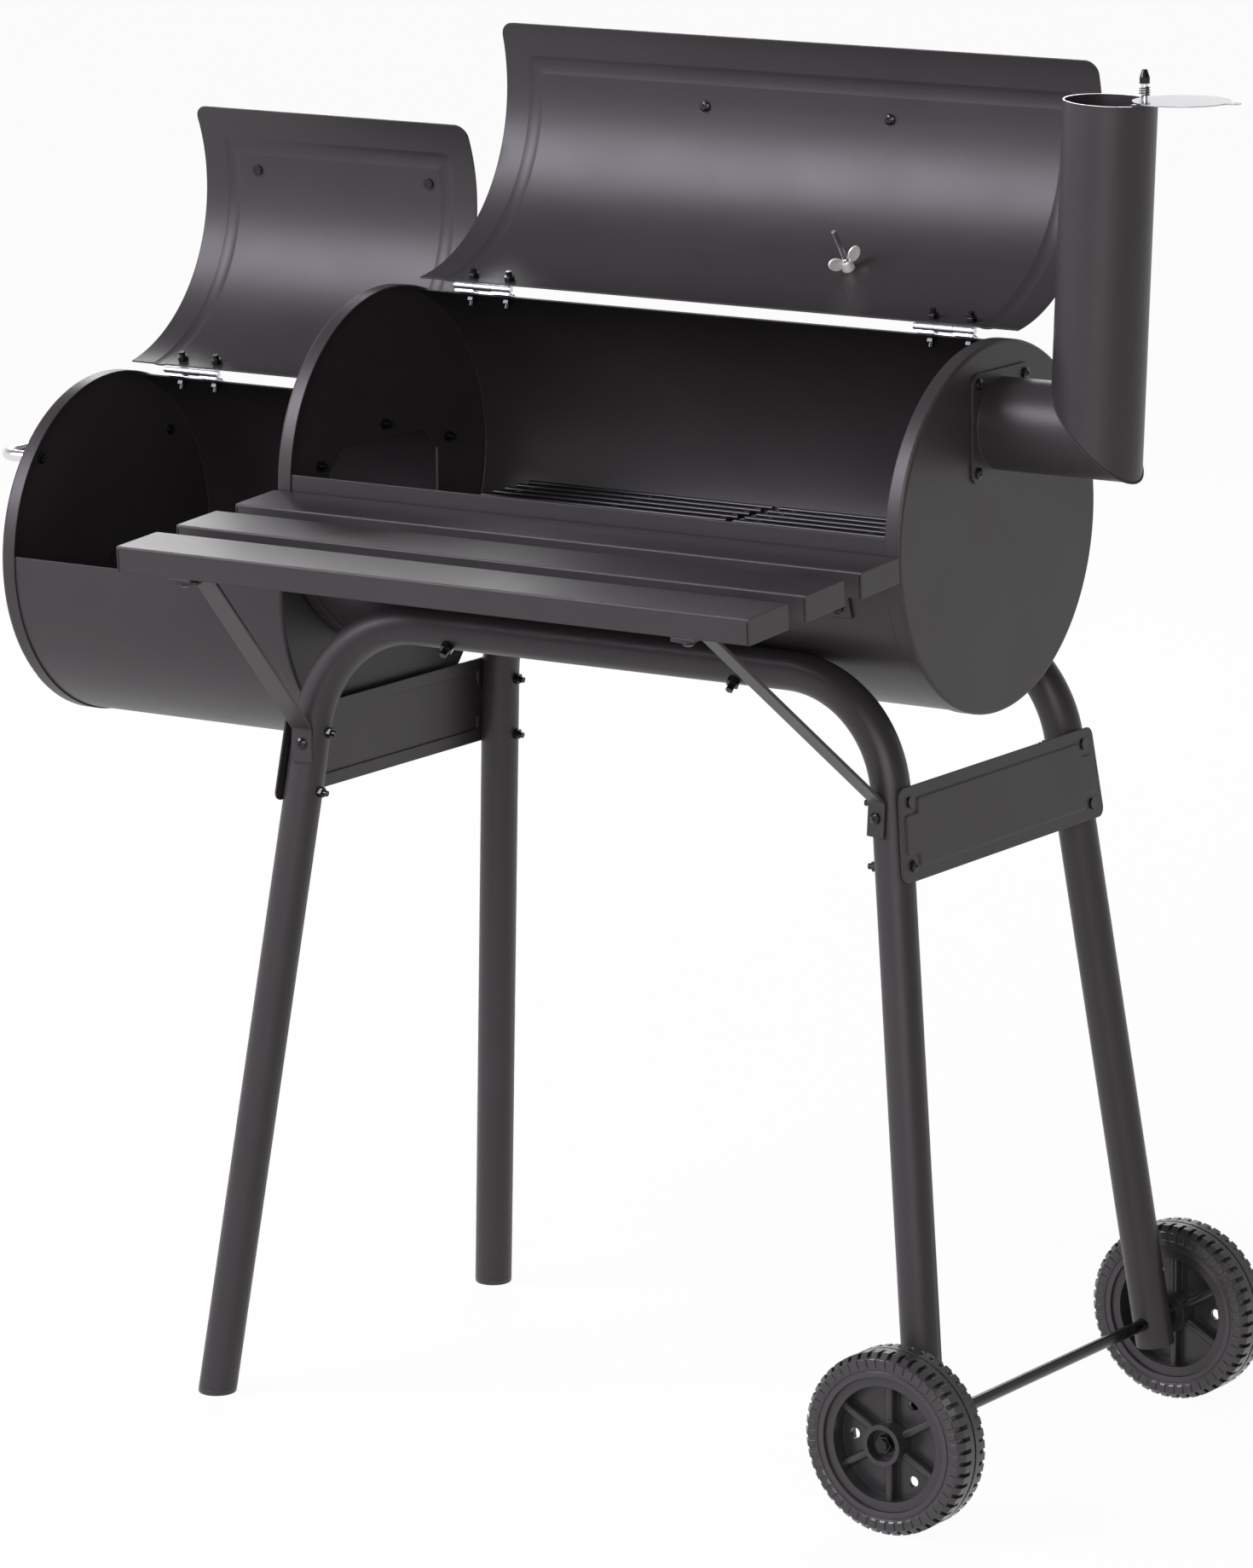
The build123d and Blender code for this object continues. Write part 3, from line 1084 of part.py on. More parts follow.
def cap_nut():
    hex_part = extrude(RegularPolygon(SMALL.flats / 2, 6, major_radius=False), CAP_NUT_HEX)
    dome = Pos(0, 0, CAP_NUT_HEX) * Cone(SMALL.flats / 2, SMALL.flats / 4, CAP_NUT_DOME, align=ON)
    return hex_part + dome - Cylinder(SMALL.shank, CAP_NUT_HEX, align=ON)


pivot_shank = Cylinder(SMALL.shank, nut_z + CAP_NUT_HEX, align=ON)
pivot_shank += Cylinder(SMALL.shank, EAR_THICK, align=UNDER)
pivot_shank += Cylinder(PIVOT_BOLT_HEAD, collar, align=ON)
pivot_head = Pos(0, 0, -EAR_THICK) * Cylinder(PIVOT_BOLT_HEAD, PIVOT_BOLT_HEAD_HEIGHT, align=UNDER)
keep("chimney_damper", pivot * Pos(0, 0, disc_z) * damper_disc())
keep("damper_bolt", pivot * (pivot_shank + pivot_head))
keep("damper_spring", pivot * Pos(0, 0, spring_z) * damper_spring())
keep("damper_nut", pivot * Pos(0, 0, nut_z) * cap_nut())


# Air damper: a holed disc that turns on a rivet over the holes in the firebox's left cap, drawn shut

vent_disc = Pos(0, 0, SIDE_PLAY) * Cylinder(VENT_RADIUS, VENT_THICK, align=ON)
vent_disc += Pos(0, VENT_RADIUS - VENT_THICK, SIDE_PLAY) * Box(VENT_TAB, VENT_THICK, VENT_TAB_OUT, align=ON)
shut = Rot(0, 0, 180 / VENT_COUNT)
vent_disc -= [shut * spot * Cylinder(VENT_HOLE, 8 * SHEET) for spot in vent_spots]
vent_disc -= Cylinder(RIVET_RADIUS + RUN_FIT, 8 * SHEET)
rivet_z = VENT_THICK + 2 * SIDE_PLAY
rivet = Pos(0, 0, -SHEET) * Cylinder(RIVET_RADIUS, SHEET + rivet_z, align=ON)
rivet += Pos(0, 0, rivet_z) * Cylinder(RIVET_HEAD, RIVET_HEAD_HEIGHT, align=ON)
rivet += Pos(0, 0, -SHEET) * Cylinder(RIVET_HEAD, RIVET_HEAD_HEIGHT, align=UNDER)
keep("air_damper", vent_seat * vent_disc)
keep("air_damper_rivet", vent_seat * rivet)


# Move to the base frame, whose origin is the middle of the footprint, and write one file per node

whole = Compound([solid for solids in pieces.values() for solid in solids]).bounding_box()
ORIGIN = Vector(whole.center().X, whole.center().Y, whole.min.Z)

os.makedirs("parts", exist_ok=True)
for name, solids in pieces.items():
    placed = [solid.moved(Location(-ORIGIN)) for solid in solids]
    export_step(placed[0] if len(placed) == 1 else Compound(placed), f"parts/{name}.step")


def report(words, point):
    place = Vector(point) - ORIGIN
    print(words, tuple(round(value, 3) for value in place))


report("chamber's left face on its axis", (0, 0, CHAMBER_AXIS_Z))
for name, barrel, _, _ in LIDS:
    report(name + " hinge", barrel.point(barrel.pin, barrel.hinge, barrel.middle))
report("chimney damper pivot", pivot.origin)
report("wheel axle", (AXLE_X, 0, AXLE_Z))
report("air damper pivot", vent_seat.origin)
report("thermometer needle", chamber.opened(dial_seat * Vertex(0, 0, 0)))
print(len(pieces), "nodes,", sum(len(solids) for solids in pieces.values()), "solids")
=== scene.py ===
# %% [markdown]
# # An offset smoker, dressed for its photograph
# The frame holds every solid of the smoker in metres, with the floor at z = 0, the shelf towards -Y and
# the chimney towards +X. This lesson gives each solid a finish, adds the small surfaces that are too fine
# for the solids, and sets up the camera and the light. The solids themselves stay where they are.

# %% Load the frame
import json
import math
import bpy
import numpy as np
from mathutils import Matrix, Vector


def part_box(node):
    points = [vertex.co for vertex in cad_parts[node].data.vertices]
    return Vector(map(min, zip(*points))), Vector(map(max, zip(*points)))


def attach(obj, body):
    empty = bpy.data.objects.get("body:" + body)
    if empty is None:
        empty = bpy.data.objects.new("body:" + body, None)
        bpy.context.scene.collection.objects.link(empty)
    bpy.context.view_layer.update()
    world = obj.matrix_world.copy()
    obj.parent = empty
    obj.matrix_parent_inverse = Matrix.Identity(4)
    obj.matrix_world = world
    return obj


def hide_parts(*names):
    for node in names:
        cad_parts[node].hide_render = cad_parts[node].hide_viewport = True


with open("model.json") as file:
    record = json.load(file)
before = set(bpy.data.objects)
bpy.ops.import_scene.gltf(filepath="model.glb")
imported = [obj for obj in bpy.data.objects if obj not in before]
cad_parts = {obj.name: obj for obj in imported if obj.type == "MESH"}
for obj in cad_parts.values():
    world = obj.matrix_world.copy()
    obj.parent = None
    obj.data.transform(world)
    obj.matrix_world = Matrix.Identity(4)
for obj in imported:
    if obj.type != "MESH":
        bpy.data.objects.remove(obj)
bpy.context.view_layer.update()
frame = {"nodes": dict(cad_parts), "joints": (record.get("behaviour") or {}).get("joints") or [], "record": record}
solids = frame["nodes"]
record = frame["record"]
scene = bpy.context.scene
MM = 0.001

# %% [markdown]
# ## Camera
# The photograph was taken from a little right of the front and from above, with a long lens far away.
# A camera can be aimed by eye, but its place was worked out from the straight edges and circles of the
# smoker, so here it is set from angles, a distance and a focal length. The three axes of the camera are
# the columns of its matrix: right, up, and back towards the viewer.

# %% Camera
PHOTO_SIZE = (1470, 1839)
CAMERA_AZIMUTH = math.radians(33.926)
CAMERA_ELEVATION = math.radians(11.896)
CAMERA_ROLL = math.radians(-0.435)
CAMERA_FROM_CHAMBER = Vector((3.6726, -5.0983, 1.8102))
FOCAL_PIXELS = 8909.75
SENSOR_SIDE = 36         # mm, along the longer side of the picture
NEAREST, FARTHEST = 0.1, 100

cap_low, cap_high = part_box("chamber_left_cap")
chamber_corner = Vector((cap_low.x, (cap_low.y + cap_high.y) / 2, 0))

back = Vector((math.sin(CAMERA_AZIMUTH) * math.cos(CAMERA_ELEVATION),
               -math.cos(CAMERA_AZIMUTH) * math.cos(CAMERA_ELEVATION),
               math.sin(CAMERA_ELEVATION)))
level = Vector((math.cos(CAMERA_AZIMUTH), math.sin(CAMERA_AZIMUTH), 0))
upright = back.cross(level)
right = level * math.cos(CAMERA_ROLL) + upright * math.sin(CAMERA_ROLL)
up = upright * math.cos(CAMERA_ROLL) - level * math.sin(CAMERA_ROLL)
turned = Matrix((right, up, back)).transposed().to_4x4()

lens = bpy.data.cameras.new("camera")
lens.sensor_fit = "AUTO"
lens.sensor_width = SENSOR_SIDE
lens.lens = FOCAL_PIXELS / max(PHOTO_SIZE) * SENSOR_SIDE
lens.clip_start, lens.clip_end = NEAREST, FARTHEST
camera = bpy.data.objects.new("camera", lens)
scene.collection.objects.link(camera)
camera.matrix_world = Matrix.Translation(chamber_corner + CAMERA_FROM_CHAMBER) @ turned
scene.camera = camera
print("lens", round(lens.lens, 1), "mm")

# %% [markdown]
# ## Tools for nodes
# Light and finishes are made of nodes: each takes values at its inputs, either plain or by a link from
# another node. They could be wired by hand in the node editor, but a few helpers make the same wiring
# readable as text: one fills in the inputs of a node, and the others are the sums that come up most.

# %% Tools for nodes


def fill_in(tree, node, values):
    """Give inputs of a node, by name or number, their values: a link where a value is a socket."""
    for label, value in values.items():
        if isinstance(value, bpy.types.NodeSocket):
            tree.links.new(value, node.inputs[label])
        else:
            node.inputs[label].default_value = value


def new_node(tree, kind, values):
    """Node of a kind with its inputs filled in."""
    node = tree.nodes.new(kind)
    fill_in(tree, node, values)
    return node


def combine(tree, operation, first, second):
    """Sum, difference, product or larger one of two numbers or sockets, as the operation says."""
    node = new_node(tree, "ShaderNodeMath", {0: first, 1: second})
    node.operation = operation
    return node.outputs["Value"]


def spread(tree, value, low, high, start=0, end=1):
    """Value carried from the range between start and end onto the one between low and high, not beyond."""
    ranges = {"From Min": start, "From Max": end, "To Min": low, "To Max": high}
    return new_node(tree, "ShaderNodeMapRange", {"Value": value, **ranges}).outputs["Result"]


def see_white(tree):
    """Value 1 for rays from the camera, a mirror or glass, and 0 for the rays that light diffuse surfaces."""
    path = new_node(tree, "ShaderNodeLightPath", {}).outputs
    seen = combine(tree, "MAXIMUM", path["Is Camera Ray"], path["Is Glossy Ray"])
    return combine(tree, "MAXIMUM", seen, path["Is Transmission Ray"])


node_tools = (fill_in, new_node, combine, spread, see_white)
print("helpers:", [tool.__name__ for tool in node_tools])

# %% [markdown]
# ## Room
# A satin black surface shows little of its own colour and mostly mirrors what stands around it, here a
# white room that is dark overhead and to the right. Walls could be modelled, but they would throw light
# back and forth. The world does it alone: an even light that fades overhead and to the right. The camera
# sees it white everywhere, mirrors see it white where it doesn't fade, and as a light it is weaker.

# %% Room
FILL_STRENGTH = 0.34
FADE_UP = (0.15, 0.7, 0.3)       # from and to this height of the direction the world fades to this share
FADE_RIGHT = (0.2, 0.9, 0.35)    # and so to the right

scene.view_settings.view_transform = "Standard"
world = bpy.data.worlds.new("studio")
scene.world = world
world.use_nodes = True
sky = world.node_tree
place = new_node(sky, "ShaderNodeTexCoord", {}).outputs["Generated"]
direction = new_node(sky, "ShaderNodeSeparateXYZ", {"Vector": place}).outputs


def fade(axis, start, end, share):
    """Value 1 up to a start along an axis of the direction, and from there falling to a share at the end."""
    return spread(sky, direction[axis], 1, share, start, end)


faded = combine(sky, "MULTIPLY", fade("Z", *FADE_UP), fade("X", *FADE_RIGHT))
from_camera = new_node(sky, "ShaderNodeLightPath", {}).outputs["Is Camera Ray"]
unfaded_for_camera = combine(sky, "MAXIMUM", faded, from_camera)
strength = spread(sky, see_white(sky), FILL_STRENGTH, 1)
level_seen = combine(sky, "MULTIPLY", strength, unfaded_for_camera)
fill_in(sky, sky.nodes["Background"], {"Color": (1, 1, 1, 1), "Strength": level_seen})
print("world gives", FILL_STRENGTH, "of the white that the camera sees")

# %% [markdown]
# ## Panels
# Studio pictures of black goods are lit by large soft panels. Small lamps would give points of light, where
# the photograph has a broad sheen. The one across the inside of the main lid gives away where the strong
# panel stood: mirrored at that sheet, the line of sight runs to the front left and up. A wide one beside the
# camera lights the end caps inside the barrels, and one high at the back left grazes the tops of the slats,
# which shine towards their left ends.

# %% Panels


def softbox(name, place, target, size, watts, colour=(1, 1, 1)):
    """Rectangular panel light at a place, turned to face a target."""
    lamp = bpy.data.lights.new(name, "AREA")
    lamp.shape = "RECTANGLE"
    lamp.size, lamp.size_y = size
    lamp.energy = watts
    lamp.color = colour
    panel = bpy.data.objects.new(name, lamp)
    scene.collection.objects.link(panel)
    panel.location = place
    panel.rotation_euler = (Vector(target) - Vector(place)).to_track_quat("-Z", "Y").to_euler()
    print(name, "of", watts, "W")


softbox("strong panel", place=(-2.4, -2.85, 3.2), target=(0, 0.1, 0.9), size=(2.4, 2.1), watts=195,
        colour=(0.93, 0.92, 1))
softbox("wide panel", place=(2.4, -3.8, 2.0), target=(-0.1, 0, 0.7), size=(3.0, 2.0), watts=85)
softbox("back panel", place=(-2.3, 3.4, 2.7), target=(0, 0.1, 0.8), size=(2.4, 1.1), watts=70)

# %% [markdown]
# ## Floor
# The floor of the photograph is as white as its background. A plain white sheet would come out grey where
# the light falls off, so this is a wide pale disc that is mixed with white for the camera and for mirrors,
# and only a soft shadow is left. The disc's outline is a circle, which many later pieces need too.

# %% Floor
FLOOR_RADIUS = 30
FLOOR_CORNERS = 64
FLOOR_PALENESS = 0.96
FLOOR_ROUGHNESS = 0.9
FLOOR_WHITENESS = 0.96   # share of plain white that is mixed in
X, Y, Z = np.eye(3)


def full_turn(steps):
    """Angles of one turn in equal steps."""
    return np.linspace(0, 2 * np.pi, steps, endpoint=False)


def circle(angle, start, quarter):
    """Round or oval path: the cosine of an angle times one direction, plus its sine times another."""
    angle = np.asarray(angle)[..., None]
    return np.cos(angle) * start + np.sin(angle) * quarter


floor_mesh = bpy.data.meshes.new("floor")
floor_rim = FLOOR_RADIUS * circle(full_turn(FLOOR_CORNERS), X, Y)
floor_mesh.from_pydata(floor_rim.tolist(), [], [list(range(FLOOR_CORNERS))])
floor = bpy.data.objects.new("floor", floor_mesh)
scene.collection.objects.link(floor)

floor_paint = bpy.data.materials.new("pale floor")
floor_paint.use_nodes = True
tree = floor_paint.node_tree
matt = tree.nodes["Principled BSDF"]
fill_in(tree, matt, {"Base Color": (FLOOR_PALENESS, FLOOR_PALENESS, FLOOR_PALENESS, 1),
                     "Roughness": FLOOR_ROUGHNESS, "Specular IOR Level": 0})
glow = new_node(tree, "ShaderNodeEmission", {})
whiteness = combine(tree, "MULTIPLY", see_white(tree), FLOOR_WHITENESS)
blend = new_node(tree, "ShaderNodeMixShader",
                 {"Fac": whiteness, 1: matt.outputs["BSDF"], 2: glow.outputs["Emission"]})
fill_in(tree, tree.nodes["Material Output"], {"Surface": blend.outputs["Shader"]})
floor_mesh.materials.append(floor_paint)
print("floor", 2 * FLOOR_RADIUS, "m across")

# %% [markdown]
# ## Grain of the coats
# Powder coat, enamel and moulded plastic all have a fine grain, and none is quite even in gloss or colour.
# The grain could be modelled, but thousands of tiny dents would make the mesh heavy. A node group does it
# in the shader instead, once for all finishes: fine noise is the height of the grain, broad noise lets the
# roughness wander, and the mean of both the colour.

# %% Grain of the coats
FINE_DETAIL = 2
BROAD_SCALE, BROAD_DETAIL = 14, 3


def new_group(name, inputs, outputs):
    """Empty shader node group with named sockets: inputs are (name, type, value), outputs (name, type)."""
    group = bpy.data.node_groups.new(name, "ShaderNodeTree")
    for label, kind, value in inputs:
        socket = group.interface.new_socket(label, in_out="INPUT", socket_type=kind)
        socket.default_value = value
    for label, kind in outputs:
        group.interface.new_socket(label, in_out="OUTPUT", socket_type=kind)
    return group, group.nodes.new("NodeGroupInput").outputs, group.nodes.new("NodeGroupOutput")


def noise(tree, vector, scale, detail):
    """Value that wanders over space, with its scale taken from a socket or a number."""
    values = {"Vector": vector, "Scale": scale, "Detail": detail}
    return new_node(tree, "ShaderNodeTexNoise", values).outputs["Fac"]


coat_grain, take, give = new_group(
    "coat grain",
    [("Grain Scale", "NodeSocketFloat", 900), ("Smoothest", "NodeSocketFloat", 0.3),
     ("Roughest", "NodeSocketFloat", 0.5), ("Colour", "NodeSocketColor", (0.5, 0.5, 0.5, 1)),
     ("Unevenness", "NodeSocketFloat", 0.05)],
    [("Height", "NodeSocketFloat"), ("Roughness", "NodeSocketFloat"), ("Colour", "NodeSocketColor")])
spot = new_node(coat_grain, "ShaderNodeTexCoord", {}).outputs["Object"]
fine = noise(coat_grain, spot, take["Grain Scale"], FINE_DETAIL)
broad = noise(coat_grain, spot, BROAD_SCALE, BROAD_DETAIL)
gloss = spread(coat_grain, broad, take["Smoothest"], take["Roughest"])
mean = combine(coat_grain, "MULTIPLY", combine(coat_grain, "ADD", fine, broad), 0.5)
darkest = combine(coat_grain, "SUBTRACT", 1, take["Unevenness"])
palest = combine(coat_grain, "ADD", 1, take["Unevenness"])
shade = {"Color": take["Colour"], "Value": spread(coat_grain, mean, darkest, palest)}
mottled = new_node(coat_grain, "ShaderNodeHueSaturation", shade).outputs["Color"]
fill_in(coat_grain, give, {"Height": fine, "Roughness": gloss, "Colour": mottled})
print("coat grain puts out", [socket.name for socket in give.inputs if socket.name])

# %% [markdown]
# ## Soft edges
# Every sheet and tube has edges that are a little rounded, and they catch the light as thin bright lines.
# Each mesh could be bevelled, but the solids stay as they are. A second group puts out a normal that is
# rounded over at the edges, which changes how the light falls and leaves the mesh alone.

# %% Soft edges
EDGE_SAMPLES = 4

soft_edges, take, give = new_group(
    "soft edges", [("Radius", "NodeSocketFloat", 0.0006)], [("Normal", "NodeSocketVector")])
rounded = new_node(soft_edges, "ShaderNodeBevel", {"Radius": take["Radius"]})
rounded.samples = EDGE_SAMPLES
fill_in(soft_edges, give, {"Normal": rounded.outputs["Normal"]})
print("groups:", [group.name for group in bpy.data.node_groups])

# %% [markdown]
# ## How a finish is made
# A finish is one surface shader with the two effects plugged into it. It could be a picture wrapped round
# the piece, but a picture needs seams and blurs when the camera comes close. Here a constant is set on the
# shader itself, and only what changes over the surface comes through a link.

# %% How a finish is made


def place_group(tree, group, values):
    """Outputs of a node group that is placed in a material with its own values."""
    node = tree.nodes.new("ShaderNodeGroup")
    node.node_tree = group
    fill_in(tree, node, values)
    return node.outputs


def finish(name, colour, metallic=0.0, smooth=0.3, rough=0.5, grain=900, bump=0.0, edge=0.6, specular=0.5,
           uneven=0.1, glance=(1, 0.95, 1)):
    """Material whose roughness wanders from smooth to rough. grain is the scale of its grain and bump the
    depth in mm, edge the radius of its edges in mm, uneven the share by which the colour wanders, and
    glance the tint of what it mirrors at a flat angle."""
    made = bpy.data.materials.new(name)
    made.use_nodes = True
    tree = made.node_tree
    paint = (*colour, 1)
    skin = place_group(tree, coat_grain, {"Grain Scale": grain, "Smoothest": smooth, "Roughest": rough,
                                          "Colour": paint, "Unevenness": uneven})
    normal = place_group(tree, soft_edges, {"Radius": edge * MM})["Normal"]
    if bump:
        dents = {"Distance": bump * MM, "Height": skin["Height"], "Normal": normal}
        normal = new_node(tree, "ShaderNodeBump", dents).outputs["Normal"]
    shader = tree.nodes["Principled BSDF"]
    fill_in(tree, shader, {"Base Color": paint, "Metallic": metallic, "Specular IOR Level": specular,
                           "Specular Tint": (*glance, 1), "Roughness": skin["Roughness"], "Normal": normal})
    if uneven:
        fill_in(tree, shader, {"Base Color": skin["Colour"]})
    return made


print("a finish uses", coat_grain.name, "and", soft_edges.name)

# %% [markdown]
# ## Finishes of the smoker
# Barrels, legs, shelf and chimney have a satin black powder coat, which is plastic powder melted onto the
# steel. The bolts and the axle are glossy black, the grates enamelled wire, the wheels and the plugs of the
# feet moulded plastic. Handles, thermometer and damper bolt are chrome plated, hinges and rivet zinc plated.
# Every solid could have a material of its own, but pieces that come out of one bath look alike, so each
# material slot of the record gets one finish. The glass of the dial also lets the light through.

# %% Finishes of the smoker
GLASS_IOR = 1.5

finishes = {
    "black_coat": finish("satin black powder coat", (0.03, 0.0264, 0.028), smooth=0.34, rough=0.46,
                         grain=1400, bump=0.05, edge=1.5, specular=0.37, uneven=0.25),
    "black_fasteners": finish("glossy black fasteners", (0.005, 0.005, 0.005), smooth=0.08, rough=0.18,
                              edge=0.3, specular=0.4),
    "zinc_plate": finish("bright zinc plate", (0.7, 0.71, 0.73), metallic=1, smooth=0.26, rough=0.4,
                         edge=0.3),
    "chrome_plate": finish("polished chrome plate", (0.74, 0.74, 0.75), metallic=1, smooth=0.16, rough=0.28,
                           edge=0.3),
    "black_enamel": finish("black enamelled wire", (0.01, 0.01, 0.0105), smooth=0.2, rough=0.35, edge=0.5,
                           specular=0.4),
    "wheel_tread": finish("black moulded tread", (0.036, 0.034, 0.0345), smooth=0.2, rough=0.32, grain=700,
                          bump=0.04, edge=0.9),
    "black_plastic": finish("moulded black plastic", (0.026, 0.0245, 0.025), smooth=0.24, rough=0.36,
                            bump=0.03, edge=0.8),
    "dial_glass": finish("clear dial glass", (1, 1, 1), smooth=0.02, rough=0.04, uneven=0),
    "dial_needle": finish("red painted pointer", (0.5, 0.03, 0.02), smooth=0.3, rough=0.4, edge=0.1),
}
tree = finishes["dial_glass"].node_tree
fill_in(tree, tree.nodes["Principled BSDF"], {"Transmission Weight": 1, "IOR": GLASS_IOR})

for row in record["subparts"]:
    mesh = solids[row["node"]].data
    mesh.materials.clear()
    mesh.materials.append(finishes[row["material_slot"]])
print(len(finishes), "finishes on", len(record["subparts"]), "solids")

# %% [markdown]
# ## Spring and disc of the chimney's damper
# Two pieces look unlike the plated ones whose slots they share. The spring is of dark steel, and the disc is
# thin zinc-plated sheet, so smooth that it mirrors the white room but stays a little greyer than it. The
# whole slot could be changed, but the hinges and handles would change with it, so these two are dressed
# after the others.

# %% Spring and disc of the chimney's damper
own_finishes = {
    "damper_spring": finish("dark spring steel", (0.06, 0.06, 0.06), metallic=1, smooth=0.2, rough=0.3,
                            edge=0.1),
    "chimney_damper": finish("smooth zinc sheet", (0.47, 0.475, 0.49), metallic=1, smooth=0.1, rough=0.16,
                             edge=0.3, glance=(0.84, 0.84, 0.85)),
}
for node, made in own_finishes.items():
    solids[node].data.materials[0] = made
print("own finishes on", list(own_finishes))

# %% [markdown]
# ## Tools for new surfaces
# A new piece is a net of points that a formula gives, with a face between each four neighbours. Modelling by
# hand moves point after point. Here the points come as one array, so a piece is made in one go however many
# points it has, and a size can be changed later.

# %% Tools for new surfaces


def net_faces(rows, columns, copies=1):
    """Faces of nets whose rows close on themselves: each joins neighbours in two rows beside each other."""
    row, column, copy = np.meshgrid(np.arange(rows - 1), np.arange(columns), np.arange(copies), indexing="ij")
    start = copy * rows * columns + row * columns
    following = (column + 1) % columns
    corners = [start + column, start + following, start + columns + following, start + columns + column]
    return np.stack(corners, axis=-1).reshape(-1, 4)


def open_net_faces(rows, columns, copies=1):
    """Faces of nets whose rows don't close: the same without the face from the last column to the first."""
    return net_faces(rows, columns, copies).reshape(rows - 1, columns, copies, 4)[:, :-1].reshape(-1, 4)


def new_piece(name, points, faces, material, body, smooth=True):
    """Object from points in metres and faces, with a finish, that rides a body of the frame."""
    mesh = bpy.data.meshes.new(name)
    mesh.from_pydata(np.reshape(points, (-1, 3)).tolist(), [], np.asarray(faces).tolist())
    mesh.polygons.foreach_set("use_smooth", [smooth] * len(mesh.polygons))
    mesh.materials.append(material)
    made = bpy.data.objects.new(name, mesh)
    scene.collection.objects.link(made)
    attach(made, body)
    print(name, "has", len(mesh.polygons), "faces and rides", body)
    return made


def across(direction, toward):
    """Two unit vectors square to a direction and to each other, the first as near to toward as it can be."""
    first = toward - direction * np.sum(direction * toward, axis=-1, keepdims=True)
    first = first / np.linalg.norm(first, axis=-1, keepdims=True)
    return first, np.cross(direction, first)


print("a net of 3 rows of 4 points has", len(net_faces(3, 4)), "faces, or open", len(open_net_faces(3, 4)))

# %% [markdown]
# ## Where the bolt heads are
# The bolts are button heads, and the solids have the plain disc of each head. Their places could be listed,
# but the solids already hold them: the top of a head is the largest flat face of its bolt, and round without
# a hole. Triangles are one flat face where they belong to one bolt, face one way and lie at one level.

# %% Where the bolt heads are
JOIN_CELL = 0.01 * MM    # corners in one cell of this size are one spot
FACING_STEPS = 300       # two facings are the same to one part in this many
LEVEL_STEP = 0.07 * MM   # two levels are the same to this distance
LEAST_AREA = 1e-15       # square metres, so that nothing is divided by zero
ROUND_SHARE = 0.9        # no corner of a round face is nearer to its middle than this share of the farthest


def joined_triangles(solid):
    """Points and triangles of a solid's mesh, with the corners that lie on one spot joined."""
    mesh = solid.data
    mesh.calc_loop_triangles()
    spots = np.empty(3 * len(mesh.vertices))
    mesh.vertices.foreach_get("co", spots)
    corners = np.empty(3 * len(mesh.loop_triangles), dtype=np.int32)
    mesh.loop_triangles.foreach_get("vertices", corners)
    spots = spots.reshape(-1, 3)
    cells = np.round(spots / JOIN_CELL).astype(np.int64)
    _, first, joined = np.unique(cells, axis=0, return_index=True, return_inverse=True)
    return spots[first], joined.reshape(-1)[corners].reshape(-1, 3)


def connected(points, triangles):
    """For each triangle the number of its bolt: the lowest corner that can be reached from it."""
    label = np.arange(len(points))
    while True:
        lower = label.copy()
        np.minimum.at(lower, triangles.ravel(), np.repeat(label[triangles].min(axis=1), 3))
        lower = lower[lower]
        if np.array_equal(lower, label):
            return label[triangles[:, 0]]
        label = lower


def bolt_heads(node):
    """Middle, direction and radius of the top of every bolt head in a node."""
    points, triangles = joined_triangles(solids[node])
    bolt = connected(points, triangles)
    a, b, c = points[triangles].transpose(1, 0, 2)
    square = np.cross(b - a, c - a)
    area = np.linalg.norm(square, axis=1) / 2
    facing = square / np.maximum(2 * area, LEAST_AREA)[:, None]
    level = np.sum(facing * a, axis=1)
    keys = np.column_stack([bolt, np.round(facing * FACING_STEPS), np.round(level / LEVEL_STEP)])
    flat = np.unique(keys, axis=0, return_inverse=True)[1].reshape(-1)
    total = np.bincount(flat, area)
    heads = []
    for number in np.unique(bolt):
        own = flat[bolt == number]
        face = flat == own[np.argmax(total[own])]
        middle = np.average((a + b + c)[face] / 3, axis=0, weights=area[face])
        reach = np.linalg.norm(points[triangles[face]].reshape(-1, 3) - middle, axis=1)
        if reach.min() > ROUND_SHARE * reach.max():
            heads.append((middle, facing[face][0], reach.max()))
    return [np.array(column) for column in zip(*heads)]


bolt_nodes = [row["node"] for row in record["subparts"] if row["node"].endswith("_bolts")]
heads = {node: bolt_heads(node) for node in bolt_nodes}
print(sum(len(radius) for _, _, radius in heads.values()), "heads in", len(heads), "sets of bolts")

# %% [markdown]
# ## Domed bolt heads
# A button head is a low dome with a cross-shaped recess for the screwdriver. The dome could be a copied
# model, but the heads have two sizes and face many ways, so it is worked out for each: the height falls with
# the square of the distance from the middle, and the cross is taken off it. Each dome is set on the flat top
# of its head and turned by another angle, as fitted screws are.

# %% Domed bolt heads
DOME_RISE = 1.5 * MM
DOME_START = 0.02        # the rings run from this share of the head's radius to its edge
DOME_RINGS, DOME_STEPS = 13, 40
RECESS_DEPTH = 1.1 * MM
RECESS_WIDTH = 0.28      # width of a bar of the cross, as a share of the head's radius
RECESS_REACH = 0.47      # and its half length
RECESS_EDGE = 0.08       # and the slope at its sides
TURN_STEP = 2.4          # radians from one head to the next
TURN_FROM = np.array([0.3, 0.5, 0.8])    # direction from which the turns are counted


